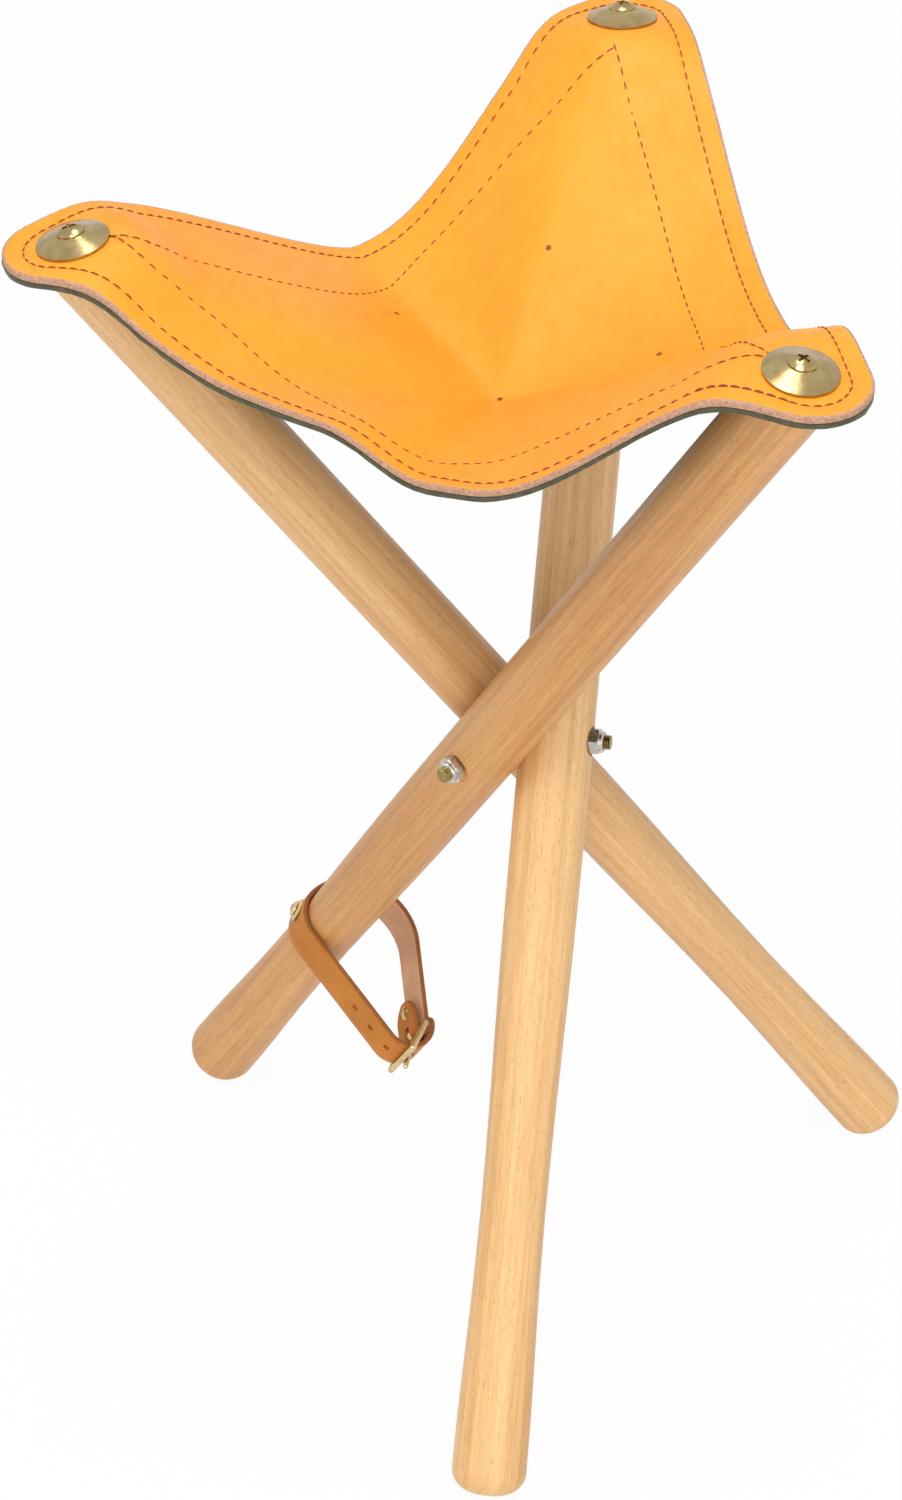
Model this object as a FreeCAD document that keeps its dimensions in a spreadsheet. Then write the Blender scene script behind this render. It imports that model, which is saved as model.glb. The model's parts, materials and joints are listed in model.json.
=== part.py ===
"""Folding tripod stool: three turned beech legs cross on a three-way bolt and carry a leather seat.

Millimetres, +Z up, standing open on Z = 0 with the origin under the middle of its bounding box.
Each leg is named after the side where its foot stands; its upper end is on the other side.
"""
import FreeCAD, Part
import math
import os

import Sketcher
from FreeCAD import Placement, Rotation, Vector

doc = FreeCAD.newDocument("tripod_stool")
sheet = doc.addObject("Spreadsheet::Sheet", "dims")

DIMENSIONS = [
    # turned leg, measured along its axis from the foot end
    ("leg_length", 600), ("leg_radius", 15), ("foot_radius", 15.5), ("foot_rounding", 9.4),
    ("waist_radius", 13.4), ("waist_height", 111), ("full_height", 270), ("mitre_angle", 24),
    ("hinge_height", 314.5), ("hinge_clearance", 0.05), ("spot_radius", 6.4), ("spot_depth", 1.3),
    ("tool_reach", 30),
    # three-way bolt and its lock nuts
    ("arm_radius", 3), ("leg_offset", 18.8), ("thread_proud", 2.8), ("thread_pitch", 1),
    ("thread_depth", 0.4), ("thread_crests", 3), ("crest_end", 0.1), ("root_middle", 0.4), ("crest_start", 0.7),
    ("nut_flats", 10), ("nut_height", 6), ("nut_collar_radius", 4.5), ("nut_hex_height", 4.3),
    ("nut_chamfer_share", 0.6), ("collar_rounding", 0.5), ("ring_radius", 3.9), ("ring_height", 1.5),
    ("ring_cover", 0.2), ("ring_lip", 0.3), ("nut_gap", 0.1),
    # lean of each leg about its own arm, in degrees
    ("lean_left", 35.4), ("lean_front", 31.1), ("lean_right", 32.95),
    # leather seat: flat ears on the leg tops, falling to a low point in the middle
    ("leather_thick", 2.8), ("backing_thick", 2.2), ("layer_gap", 0.05), ("seat_gap", 0.3),
    ("ear_radius", 23.8), ("ear_shift", 3), ("ear_flat", 17), ("ear_bend", 30),
    ("centre_drop", 83), ("centre_x", -2.5), ("centre_y", -1), ("centre_rounding", 8),
    ("ear_rounding", 6), ("slope_left", 0.67), ("slope_front", 0.60), ("slope_right", 0.60),
    ("sag_east", 0.35), ("east_angle", 10), ("sag_west", 0.125), ("west_angle", 135), ("sag_south", 0.267),
    ("south_start", 268), ("south_end", 277), ("wave_slope", 0.447), ("wave_start", 228), ("wave_end", 243),
    ("soft_bow", 1.3), ("sharp_bow", 0.6),
    ("vent_radius", 1.1), ("vent_reach", 61), ("vent_east", -72), ("vent_west", 60),
    ("sheet_margin", 8), ("sheet_steps", 40),
    # brass cone washers and dome-headed screws
    ("washer_radius", 14.1), ("washer_rim", 0.9), ("washer_rise", 3.4), ("washer_top_radius", 5.8),
    ("washer_edge", 1), ("screw_head_radius", 5.4), ("screw_head_rise", 2.5), ("screw_radius", 2.25),
    ("screw_length", 27), ("pilot_spare", 4), ("head_skirt", 0.2), ("cross_length", 5.2),
    ("cross_width", 1.2), ("cross_depth", 1.5), ("small_cross", 0.7),
    # strap: a loop that hangs from the left leg, in a plane square to the leg
    ("strap_height", 146), ("strap_width", 19.5), ("strap_thick", 2), ("strap_drop", 56),
    ("strap_ease", 0.75), ("strap_turn_radius", 11), ("strap_tail", 8), ("strap_tail_angle", -45),
    ("strap_back_radius", 28), ("strap_leave_angle", 172), ("strap_screw_angle", 148), ("strap_flap", 16),
    ("strap_holes", 3), ("strap_hole_radius", 1.6), ("strap_hole_pitch", 11), ("first_hole", -2.5),
    ("cup_radius", 5.4), ("cup_rise", 1.5), ("cup_edge", 1), ("cup_throat", 0.6), ("cup_lip", 1.2),
    ("strap_screw_radius", 1.6), ("strap_screw_length", 15), ("strap_screw_head_radius", 3.6),
    ("strap_screw_head_rise", 1.6),
    # brass buckle and rivet
    ("buckle_wire", 1.4), ("buckle_width", 25), ("bar_angle", -40), ("end_bar_angle", 40), ("bar_gap", 0.4),
    ("end_bar_gap", 0.15), ("fold_gap", 0.1), ("prong_wire", 1.1), ("prong_eye", 2.8), ("prong_eye_share", 1.4),
    ("prong_over", 1.2), ("prong_ease", 1), ("prong_slot", 4.4), ("rivet_head_radius", 3.1),
    ("rivet_head_rise", 1.2), ("rivet_radius", 1.4), ("rivet_reach", 10),
]
for row, (alias, number) in enumerate(DIMENSIONS, start=1):
    sheet.set(f"A{row}", alias)
    sheet.set(f"B{row}", str(number))
    sheet.setAlias(f"B{row}", alias)
doc.recompute()

SIDES = {"left": -120.0, "front": 0.0, "right": 120.0}
X_AXIS = Vector(1, 0, 0)
Y_AXIS = Vector(0, 1, 0)
Z_AXIS = Vector(0, 0, 1)
FINE = 0.1
nodes = {}


def val(alias):
    """The number in a cell of the sheet."""
    return float(sheet.get(alias))


def bind(thing, **sizes):
    """Tie properties of an object to expressions on the sheet."""
    for name, expression in sizes.items():
        thing.setExpression(name, expression)
    return thing


def cell(alias):
    """The expression that reads one cell of the sheet."""
    return f"dims.{alias}"


def primitive(kind, label, at=None, **sizes):
    """A Part primitive with its sizes bound to the sheet."""
    thing = doc.addObject(f"Part::{kind}", label)
    thing.Placement = at or Placement()
    return bind(thing, **sizes)


def cut(label, base, *tools):
    """Subtract tools from a base object."""
    tool = tools[0]
    if len(tools) > 1:
        tool = doc.addObject("Part::MultiFuse", f"{label}_tools")
        tool.Shapes = list(tools)
    result = doc.addObject("Part::Cut", label)
    result.Base = base
    result.Tool = tool
    return result


def fuse(label, *pieces):
    """Join touching shapes into one solid."""
    result = doc.addObject("Part::MultiFuse", label)
    result.Shapes = list(pieces)
    result.Refine = True
    return result


def profile(label, corners, arcs=None):
    """A closed sketch whose corners, and the radii of its arcs, are expressions on the sheet.

    corners holds (x, y) expressions; arcs gives, for the side that starts at a corner,
    a radius expression and +1 for a left-hand or -1 for a right-hand turn.
    """
    arcs = arcs or {}
    sketch = doc.addObject("Sketcher::SketchObject", label)
    points = []
    for corner in corners:
        across, along = (float(sheet.evalExpression(text)) for text in corner)
        points.append(Vector(across, along, 0))
    count = len(points)
    for i, start in enumerate(points):
        end = points[(i + 1) % count]
        if i not in arcs:
            sketch.addGeometry(Part.LineSegment(start, end))
            continue
        radius = float(sheet.evalExpression(arcs[i][0]))
        chord = end - start
        left = Vector(-chord.y, chord.x, 0).normalize()
        inset = math.sqrt(max(radius ** 2 - (chord.Length / 2) ** 2, 0))
        middle = (start + end) / 2
        bulge = middle - left * ((radius - inset) * arcs[i][1])
        sketch.addGeometry(Part.Arc(start, bulge, end))
    for i, corner in enumerate(corners):
        after = (i + 1) % count
        first, last = side_ends(i, arcs)
        next_first = side_ends(after, arcs)[0]
        sketch.addConstraint(Sketcher.Constraint("Coincident", i, last, after, next_first))
        for kind, text, size in (("DistanceX", corner[0], points[i].x), ("DistanceY", corner[1], points[i].y)):
            number = sketch.addConstraint(Sketcher.Constraint(kind, -1, 1, i, first, size))
            sketch.setExpression(f"Constraints[{number}]", text)
        if i in arcs:
            radius = float(sheet.evalExpression(arcs[i][0]))
            number = sketch.addConstraint(Sketcher.Constraint("Radius", i, radius))
            sketch.setExpression(f"Constraints[{number}]", arcs[i][0])
    return sketch


def side_ends(i, arcs):
    """Sketch point numbers of a side's start and end: a right-hand arc is stored backwards."""
    if i in arcs and arcs[i][1] < 0:
        return 2, 1
    return 1, 2


def revolve(label, sketch):
    """Stand a sketch's Y axis up along Z and turn the sketch about it."""
    sketch.Placement = Placement(Vector(), Rotation(X_AXIS, 90))
    return turn_solid(label, sketch)


def turn_solid(label, section):
    """Turn a closed half section in the XZ plane about Z."""
    result = doc.addObject("Part::Revolution", label)
    result.Source = section
    result.Axis = Z_AXIS
    result.Angle = 360
    result.Solid = True
    return result


def add_node(name, thing, at):
    """Name a finished sub-part and put it in its place."""
    thing.Label = name
    thing.Placement = at
    nodes[name] = thing
    return thing


def leg_frame(side, lift):
    """Place on a leg: Z along the leg, X along its arm, lifted from the hinge, in the bolt's frame."""
    turn = Placement(Vector(), Rotation(Z_AXIS, SIDES[side]))
    offset = Placement(Vector(val("leg_offset"), 0, 0), Rotation(X_AXIS, -val(f"lean_{side}")))
    return turn * offset * Placement(Vector(0, 0, lift), Rotation())


def foot_contact(side, up):
    """Lowest point of a leg's rounded foot in the direction against up, in the bolt's frame."""
    frame = leg_frame(side, val("foot_rounding") - val("hinge_height"))
    axis = frame.Rotation.multVec(Z_AXIS)
    outward = (axis * axis.dot(up) - up).normalize()
    ring = val("foot_radius") - val("foot_rounding")
    return frame.Base + outward * ring - up * val("foot_rounding")


def standing_place():
    """Tilt and lift of the bolt with which all three feet stand on Z = 0."""
    up = Z_AXIS
    for _ in range(8):
        feet = [foot_contact(side, up) for side in SIDES]
        up = (feet[1] - feet[0]).cross(feet[2] - feet[0]).normalize()
        up = up if up.z > 0 else up * -1
    tilt = Rotation(up, Z_AXIS)
    return Placement(Vector(0, 0, -feet[0].dot(up)), tilt)


HUB = standing_place()


def on_leg(side, along):
    """Place on a leg at a distance from its foot end, in the stool's frame."""
    return HUB * leg_frame(side, along - val("hinge_height"))


def on_arm(side, reach):
    """Place on an arm of the bolt at a distance from the middle, Z pointing outwards."""
    turn = Placement(Vector(), Rotation(Z_AXIS, SIDES[side]) * Rotation(Y_AXIS, 90))
    return HUB * turn * Placement(Vector(0, 0, reach), Rotation())


def leg_top(side, rise):
    """Place above the middle of a leg's mitred top, Z square to the cut face."""
    slant = Placement(Vector(), Rotation(X_AXIS, val("mitre_angle")))
    return on_leg(side, val("leg_length")) * slant * Placement(Vector(0, 0, rise), Rotation())


# A leg: turned beech with a rounded foot, a slim waist above it and a slanting top cut.
# A spot face seats the nut, and pilot holes take the screws.
def leg_profile(label):
    """Half section of a leg in the XZ plane, with one smooth curve from the foot through the waist."""
    foot, rounding = val("foot_radius"), val("foot_rounding")
    waist, full = val("waist_radius"), val("leg_radius")
    waist_height, full_height = val("waist_height"), val("full_height")
    end = val("leg_length") + full
    foot_edge = Vector(foot, 0, rounding)
    full_start = Vector(full, 0, full_height)
    swell = Part.BSplineCurve()
    swell.interpolate(Points=[
        foot_edge, Vector((foot + waist) / 2, 0, (rounding + waist_height) / 2), Vector(waist, 0, waist_height),
        Vector((full + waist) / 2, 0, (full_height + waist_height) / 2), full_start,
    ], InitialTangent=Z_AXIS, FinalTangent=Z_AXIS)
    flat_edge = Vector(foot - rounding, 0, 0)
    lean = math.sqrt(0.5) * rounding
    on_rounding = Vector(foot - rounding + lean, 0, rounding - lean)
    section = doc.addObject("Part::Feature", label)
    section.Shape = Part.Wire([
        Part.makeLine(Vector(), flat_edge), Part.Arc(flat_edge, on_rounding, foot_edge).toShape(),
        swell.toShape(), Part.makeLine(full_start, Vector(full, 0, end)),
        Part.makeLine(Vector(full, 0, end), Vector(0, 0, end)), Part.makeLine(Vector(0, 0, end), Vector()),
    ])
    return section


def make_leg(side):
    """A leg with its mitred top, bore, spot face and pilot holes."""
    name = f"leg_{side}"
    blank = turn_solid(f"{name}_blank", leg_profile(f"{name}_profile"))
    top = Placement(Vector(0, 0, val("leg_length")), Rotation(X_AXIS, val("mitre_angle")))
    reach = val("tool_reach")
    waste = primitive("Box", f"{name}_waste", top * Placement(Vector(-reach, -reach, 0), Rotation()))
    bind(waste, Length="dims.tool_reach * 2", Width="dims.tool_reach * 2", Height="dims.tool_reach * 2")
    screw_end = Placement(Vector(0, 0, -val("screw_length")), Rotation())
    pilot = primitive("Cylinder", f"{name}_pilot", top * screw_end)
    bind(pilot, Radius="dims.screw_radius + dims.hinge_clearance", Height="dims.screw_length * 2")
    across = Placement(Vector(0, 0, val("hinge_height")), Rotation(Y_AXIS, 90))
    bore = primitive("Cylinder", f"{name}_bore", across * Placement(Vector(0, 0, -reach), Rotation()))
    bind(bore, Radius="dims.arm_radius + dims.hinge_clearance", Height="dims.tool_reach * 2")
    seat_depth = val("leg_radius") - val("spot_depth")
    spot = primitive("Cylinder", f"{name}_spot", across * Placement(Vector(0, 0, seat_depth), Rotation()))
    bind(spot, Radius=cell("spot_radius"), Height="dims.spot_depth * 4")
    tools = [waste, pilot, bore, spot]
    if side == "left":
        hole = primitive("Cylinder", f"{name}_strap_pilot", strap_screw_place(-val("strap_screw_length")))
        bind(hole, Radius="dims.strap_screw_radius + dims.hinge_clearance", Height="dims.tool_reach")
        tools.append(hole)
    add_node(name, cut(name, blank, *tools), on_leg(side, 0))


# The three-way bolt: three threaded arms of one steel star, a third of a turn apart.
def make_bolt():
    """The three-way bolt, with its thread shown as rings where it stands out of the nuts."""
    leg_face = "dims.leg_offset + dims.leg_radius - dims.spot_depth"
    reach = f"({leg_face} + dims.nut_gap + dims.nut_height + dims.thread_proud)"
    root = "dims.arm_radius - dims.thread_depth"
    arms = []
    for side, turn in SIDES.items():
        corners = [("0", "0"), (cell("arm_radius"), "0")]
        for crest in range(int(val("thread_crests")), 0, -1):
            foot = f"{reach} - {crest} * dims.thread_pitch"
            corners.append((cell("arm_radius"), f"{foot} + dims.crest_end * dims.thread_pitch"))
            corners.append((root, f"{foot} + dims.root_middle * dims.thread_pitch"))
            corners.append((cell("arm_radius"), f"{foot} + dims.crest_start * dims.thread_pitch"))
        corners.append((root, reach))
        corners.append(("0", reach))
        arm = revolve(f"arm_{side}", profile(f"arm_{side}_profile", corners))
        arm.Placement = Placement(Vector(), Rotation(Z_AXIS, turn) * Rotation(Y_AXIS, 90))
        arms.append(arm)
    core = primitive("Sphere", "bolt_core", None, Radius="dims.arm_radius")
    add_node("three_way_bolt", fuse("three_way_bolt", core, *arms), HUB)


# A lock nut: chamfered hexagon with a round collar, and a nylon ring held in the collar.
def make_nut(side):
    """A lock nut against its leg, and the nylon ring in its collar."""
    name = f"lock_nut_{side}"
    corner = "dims.nut_flats / sqrt(3)"
    flat = "dims.nut_flats / 2"
    hexagon = primitive("Prism", f"{name}_hexagon", None, Circumradius=corner, Height=cell("nut_height"))
    hexagon.Polygon = 6
    chamfer = f"({corner} - {flat}) * dims.nut_chamfer_share"
    lip = cell("collar_rounding")
    outline = [
        ("0", "0"), (flat, "0"), (corner, chamfer), (corner, f"dims.nut_hex_height - {chamfer}"),
        (flat, cell("nut_hex_height")), (cell("nut_collar_radius"), cell("nut_hex_height")),
        (cell("nut_collar_radius"), f"dims.nut_height - {lip}"),
        (f"dims.nut_collar_radius - {lip}", cell("nut_height")), ("0", cell("nut_height")),
    ]
    turned = revolve(f"{name}_turned", profile(f"{name}_outline", outline))
    body = doc.addObject("Part::Common", f"{name}_body")
    body.Base = hexagon
    body.Tool = turned
    bore = primitive("Cylinder", f"{name}_bore")
    bind(bore, Radius="dims.arm_radius + dims.hinge_clearance", Height=cell("tool_reach"))
    pocket_floor = val("nut_height") - val("ring_height") - val("ring_cover")
    pocket = primitive("Cylinder", f"{name}_pocket", Placement(Vector(0, 0, pocket_floor), Rotation()))
    bind(pocket, Radius=cell("ring_radius"), Height=cell("ring_height"))
    mouth = primitive("Cylinder", f"{name}_mouth", Placement(Vector(0, 0, pocket_floor), Rotation()))
    bind(mouth, Radius="dims.ring_radius - dims.ring_lip", Height=cell("tool_reach"))
    seat = val("leg_offset") + val("leg_radius") - val("spot_depth") + val("nut_gap")
    add_node(name, cut(name, body, bore, pocket, mouth), on_arm(side, seat))
    ring = primitive("Cylinder", f"{name}_ring_blank")
    bind(ring, Radius=cell("ring_radius"), Height=cell("ring_height"))
    ring_bore = primitive("Cylinder", f"{name}_ring_bore")
    bind(ring_bore, Radius="dims.arm_radius + dims.hinge_clearance", Height=cell("tool_reach"))
    ring_name = f"nylon_ring_{side}"
    add_node(ring_name, cut(ring_name, ring, ring_bore), on_arm(side, seat + pocket_floor))


def softplus(amount, softness):
    """Positive part of a length, with its corner rounded."""
    ratio = amount / softness
    if ratio > 30:
        return amount
    return softness * math.log1p(math.exp(ratio))


def smooth(fraction):
    """0 to 1 with level ends."""
    fraction = min(max(fraction, 0.0), 1.0)
    return fraction * fraction * (3 - 2 * fraction)


# The seat's upper face. Each ear lies flat on a leg top. From the low point in the middle the
# leather rises steeply to the ears and gently to the free edges, which hang between them.
STACK = val("seat_gap") + val("backing_thick") + val("layer_gap") + val("leather_thick")
EARS = {side: leg_top(side, STACK) for side in SIDES}
CENTRE = Vector(val("centre_x"), val("centre_y"), 0)


def heading(point):
    """Compass angle in degrees of a point seen from the seat's low point."""
    return math.degrees(math.atan2(point.y - CENTRE.y, point.x - CENTRE.x))


def slope_table():
    """Rise per millimetre by compass angle: the ears, the low free edges and the front edge's wave.

    Each entry ends with the bow of the stretch after it: above 1 the leather stays low for longer,
    below 1 it folds more sharply at the stretch's lower end.
    """
    left, front, right = (heading(EARS[side].Base) % 360 for side in ("left", "front", "right"))
    left -= 360
    soft, sharp = val("soft_bow"), val("sharp_bow")
    return [
        (left, val("slope_left"), 1), (val("east_angle"), val("sag_east"), soft),
        (front, val("slope_front"), soft), (val("west_angle"), val("sag_west"), sharp),
        (right, val("slope_right"), 1), (val("wave_start"), val("wave_slope"), 1),
        (val("wave_end"), val("wave_slope"), 1), (val("south_start"), val("sag_south"), 1),
        (val("south_end"), val("sag_south"), 1), (left + 360, val("slope_left"), 1),
    ]


SLOPES = slope_table()


def slope_at(angle):
    """Rise per millimetre in a direction, passing smoothly from each listed one to the next."""
    angle = (angle - SLOPES[0][0]) % 360 + SLOPES[0][0]
    for (start, first, bow), (end, last, _) in zip(SLOPES, SLOPES[1:]):
        if angle <= end:
            share = (angle - start) / (end - start)
            from_low = share if first <= last else 1 - share
            rise = ((1 - math.cos(math.pi * from_low)) / 2) ** bow
            return min(first, last) + abs(last - first) * rise
    return SLOPES[-1][1]


def plane_height(place, x, y):
    """Height of a place's XY plane above a point of the floor."""
    normal = place.Rotation.multVec(Z_AXIS)
    return place.Base.z - ((x - place.Base.x) * normal.x + (y - place.Base.y) * normal.y) / normal.z


def ear_plane():
    """The plane through the three ears' screws."""
    first, second, third = (EARS[side].Base for side in SIDES)
    normal = (second - first).cross(third - first)
    return Placement(first, Rotation(Z_AXIS, normal if normal.z > 0 else normal * -1))


EAR_PLANE = ear_plane()


def seat_height(x, y):
    """Height of the leather's upper face above a point of the floor."""
    reach = math.hypot(x - CENTRE.x, y - CENTRE.y)
    rounding = val("centre_rounding")
    run = math.hypot(reach, rounding) - rounding
    drop = softplus(val("centre_drop") - slope_at(heading(Vector(x, y, 0))) * run, val("ear_rounding"))
    height = plane_height(EAR_PLANE, x, y) - drop
    for ear in EARS.values():
        away = math.hypot(x - ear.Base.x, y - ear.Base.y)
        share = 1 - smooth((away - val("ear_flat")) / val("ear_bend"))
        height += share * (plane_height(ear, x, y) - height)
    return height


def seat_sheet(label, below, thick):
    """A layer of the seat before it is cut to its outline, a distance below the upper face."""
    margin = val("ear_radius") + val("sheet_margin")
    xs = [ear.Base.x for ear in EARS.values()]
    ys = [ear.Base.y for ear in EARS.values()]
    steps = int(val("sheet_steps"))
    span_x = (min(xs) - margin, max(xs) + margin)
    span_y = (min(ys) - margin, max(ys) + margin)
    grid = []
    for i in range(steps + 1):
        x = span_x[0] + (span_x[1] - span_x[0]) * i / steps
        line = []
        for j in range(steps + 1):
            y = span_y[0] + (span_y[1] - span_y[0]) * j / steps
            line.append(Vector(x, y, seat_height(x, y) - below - thick))
        grid.append(line)
    surface = Part.BSplineSurface()
    surface.interpolate(grid)
    layer = doc.addObject("Part::Feature", label)
    layer.Shape = surface.toShape().extrude(Vector(0, 0, thick))
    return layer


def seat_outline(label):
    """The seat in plan: a triangle with round ears, as a tall block."""
    centres = []
    for side in ("left", "front", "right"):
        ear = EARS[side].Base
        outward = Vector(ear.x - CENTRE.x, ear.y - CENTRE.y, 0).normalize()
        centres.append(Vector(ear.x, ear.y, 0) + outward * val("ear_shift"))
    radius = val("ear_radius")
    edges = []
    for i, centre in enumerate(centres):
        before, after = centres[i - 1], centres[(i + 1) % 3]
        first = outward_normal(before, centre)
        last = outward_normal(centre, after)
        middle = (first + last).normalize()
        start, end = centre + first * radius, centre + last * radius
        edges.append(Part.Arc(start, centre + middle * radius, end).toShape())
        edges.append(Part.makeLine(end, after + last * radius))
    block = doc.addObject("Part::Feature", label)
    face = Part.Face(Part.Wire(edges))
    block.Shape = face.extrude(Vector(0, 0, val("leg_length")))
    return block


def outward_normal(start, end):
    """Right-hand normal of a side of the seat, which points away from the middle."""
    along = (end - start).normalize()
    return Vector(along.y, -along.x, 0)


def make_seat_layer(name, below, thick):
    """A layer of the seat, cut to its outline, with its screw holes and small vents."""
    sheet_cut = doc.addObject("Part::Common", f"{name}_cut")
    sheet_cut.Base = seat_sheet(f"{name}_sheet", below, thick)
    sheet_cut.Tool = seat_outline(f"{name}_block")
    tools = []
    for side, ear in EARS.items():
        below_ear = ear * Placement(Vector(0, 0, -val("tool_reach")), Rotation())
        hole = primitive("Cylinder", f"{name}_hole_{side}", below_ear)
        tools.append(bind(hole, Radius="dims.screw_radius + dims.seat_gap", Height="dims.tool_reach * 2"))
    front_heading = heading(EARS["front"].Base)
    vents = [Vector(CENTRE)]
    for turn in (val("vent_east"), 0, val("vent_west")):
        angle = math.radians(front_heading + turn)
        vents.append(CENTRE + Vector(math.cos(angle), math.sin(angle), 0) * val("vent_reach"))
    for number, place in enumerate(vents):
        vent = primitive("Cylinder", f"{name}_vent_{number}", Placement(place, Rotation()))
        tools.append(bind(vent, Radius=cell("vent_radius"), Height=cell("leg_length")))
    add_node(name, cut(name, sheet_cut, *tools), Placement())


# Seat fixing: a stamped brass cone washer and a dome-headed screw with a cross recess.
def make_seat_fixing(side):
    """The cone washer and the screw on one ear of the seat."""
    name = f"cone_washer_{side}"
    inner = "dims.screw_radius + dims.hinge_clearance"
    top = "dims.washer_rim + dims.washer_rise"
    corners = [
        ("dims.washer_radius - dims.washer_edge", "0"), (cell("washer_radius"), "0"),
        (cell("washer_radius"), cell("washer_rim")),
        (cell("washer_top_radius"), top), (inner, top), (inner, f"{top} - dims.washer_rim"),
        (cell("washer_top_radius"), f"{top} - dims.washer_rim"),
    ]
    seat = STACK + val("seat_gap")
    add_node(name, revolve(name, profile(f"{name}_profile", corners)), leg_top(side, seat))
    lift = val("washer_rim") + val("washer_rise") + seat
    make_screw(f"seat_screw_{side}", "screw", lift, leg_top(side, lift))


def make_screw(name, family, head_lift, at):
    """A wood screw: domed head with a cross recess on a plain shank, its seat at a place above the wood."""
    head, rise, shank = f"dims.{family}_head_radius", f"dims.{family}_head_rise", f"dims.{family}_radius"
    dome_rise = f"({rise} * (1 - dims.head_skirt))"
    dome = f"({head}^2 + {dome_rise}^2) / (2 * {dome_rise})"
    length = f"(dims.{family}_length - dims.pilot_spare + {head_lift})"
    corners = [
        ("0", f"-{length}"), (shank, f"-{length} + {shank}"), (shank, "0"), (head, "0"),
        (head, f"{rise} * dims.head_skirt"), ("0", rise),
    ]
    blank = revolve(f"{name}_blank", profile(f"{name}_profile", corners, {4: (dome, 1)}))
    tools = []
    share = 1 if family == "screw" else val("small_cross")
    size = f"{share} * dims.cross"
    floor = val(f"{family}_head_rise") - val("cross_depth") * share
    for turn in (0, 90):
        slot = primitive("Box", f"{name}_slot_{turn}", None)
        bind(slot, Length=f"{size}_length", Width=f"{size}_width", Height=f"{size}_depth * 2")
        doc.recompute()
        half = Vector(-slot.Length.Value / 2, -slot.Width.Value / 2, floor)
        slot.Placement = Placement(Vector(), Rotation(Z_AXIS, turn)) * Placement(half, Rotation())
        tools.append(slot)
    add_node(name, cut(name, blank, *tools), at)


# The strap is one leather strip. Seen along the leg, with X towards the hanging side and Y towards
# the front, it runs from its tail round the bottom turn, up the front, over the leg to its screw,
# round the back in a wide bow, down to the buckle and back on itself in a riveted flap.
def strap_leg_radius():
    """Radius at which the strap lies round the leg."""
    return val("waist_radius") + val("strap_ease")


def strap_frame():
    """Plane of the strap on the left leg: X along the hanging side, Y along the arm, Z against the leg."""
    turn = Rotation(Vector(0, 1, 0), Vector(1, 0, 0), Vector(0, 0, -1), "ZXY")
    return Placement(Vector(0, 0, val("strap_height")), turn)


def strap_screw_place(depth):
    """Place at the strap's screw on the leg, Z pointing out of the wood, in the leg's frame."""
    turn = Rotation(Z_AXIS, val("strap_screw_angle")) * Rotation(Y_AXIS, 90)
    lift = strap_leg_radius() + val("strap_thick") + depth
    return strap_frame() * Placement(Vector(), turn) * Placement(Vector(0, 0, lift), Rotation())


def polar(centre, radius, angle):
    """The point of a circle at an angle in degrees."""
    return centre + Vector(math.cos(math.radians(angle)), math.sin(math.radians(angle)), 0) * radius


def strap_route():
    """The strip's middle line as left-hand arcs, each (centre, radius, start angle, end angle)."""
    wrap = strap_leg_radius() + val("strap_thick") / 2
    turn = val("strap_turn_radius")
    back = val("strap_back_radius")
    leave = val("strap_leave_angle")
    back_centre = polar(Vector(), wrap - back, leave)
    bar, fold = buckle_bar(), val("buckle_wire") + val("fold_gap") + val("strap_thick") / 2
    gap = bar - back_centre
    down = math.degrees(math.atan2(gap.y, gap.x)) - math.degrees(math.acos((back - fold) / gap.Length))
    return [(strap_turn_centre(), turn, val("strap_tail_angle"), 90), (Vector(), wrap, 90, leave),
            (back_centre, back, leave, down + 360), (bar, fold, down, down + 180)]


def strap_turn_centre():
    """Middle of the strap's bottom turn."""
    return Vector(val("strap_drop"), strap_leg_radius() + val("strap_thick") / 2 - val("strap_turn_radius"), 0)


def buckle_bar():
    """The buckle's hinge bar, inside the strap's bottom turn."""
    inside = val("strap_turn_radius") - val("strap_thick") * 1.5 - val("buckle_wire") - val("bar_gap")
    return polar(strap_turn_centre(), inside, val("bar_angle"))


def buckle_end():
    """The buckle's end bar, outside the strap's bottom turn."""
    outside = val("strap_turn_radius") + val("strap_thick") / 2 + val("buckle_wire") + val("end_bar_gap")
    return polar(strap_turn_centre(), outside, val("end_bar_angle"))


def strap_side(route, shift):
    """One face of the strip: the route's arcs moved outwards by shift, joined by straight runs."""
    edges = []
    tail_angle = math.radians(route[0][2] - 90)
    start = polar(route[0][0], route[0][1] + shift, route[0][2])
    back = Vector(math.cos(tail_angle), math.sin(tail_angle), 0)
    point = start + back * val("strap_tail")
    for centre, radius, first, last in route:
        begin = polar(centre, radius + shift, first)
        if (begin - point).Length > 1e-6:
            edges.append(Part.makeLine(point, begin))
        middle = polar(centre, radius + shift, (first + last) / 2)
        point = polar(centre, radius + shift, last)
        edges.append(Part.Arc(begin, middle, point).toShape())
    ahead = math.radians(route[-1][3] + 90)
    end = point + Vector(math.cos(ahead), math.sin(ahead), 0) * val("strap_flap")
    edges.append(Part.makeLine(point, end))
    return edges


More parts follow.
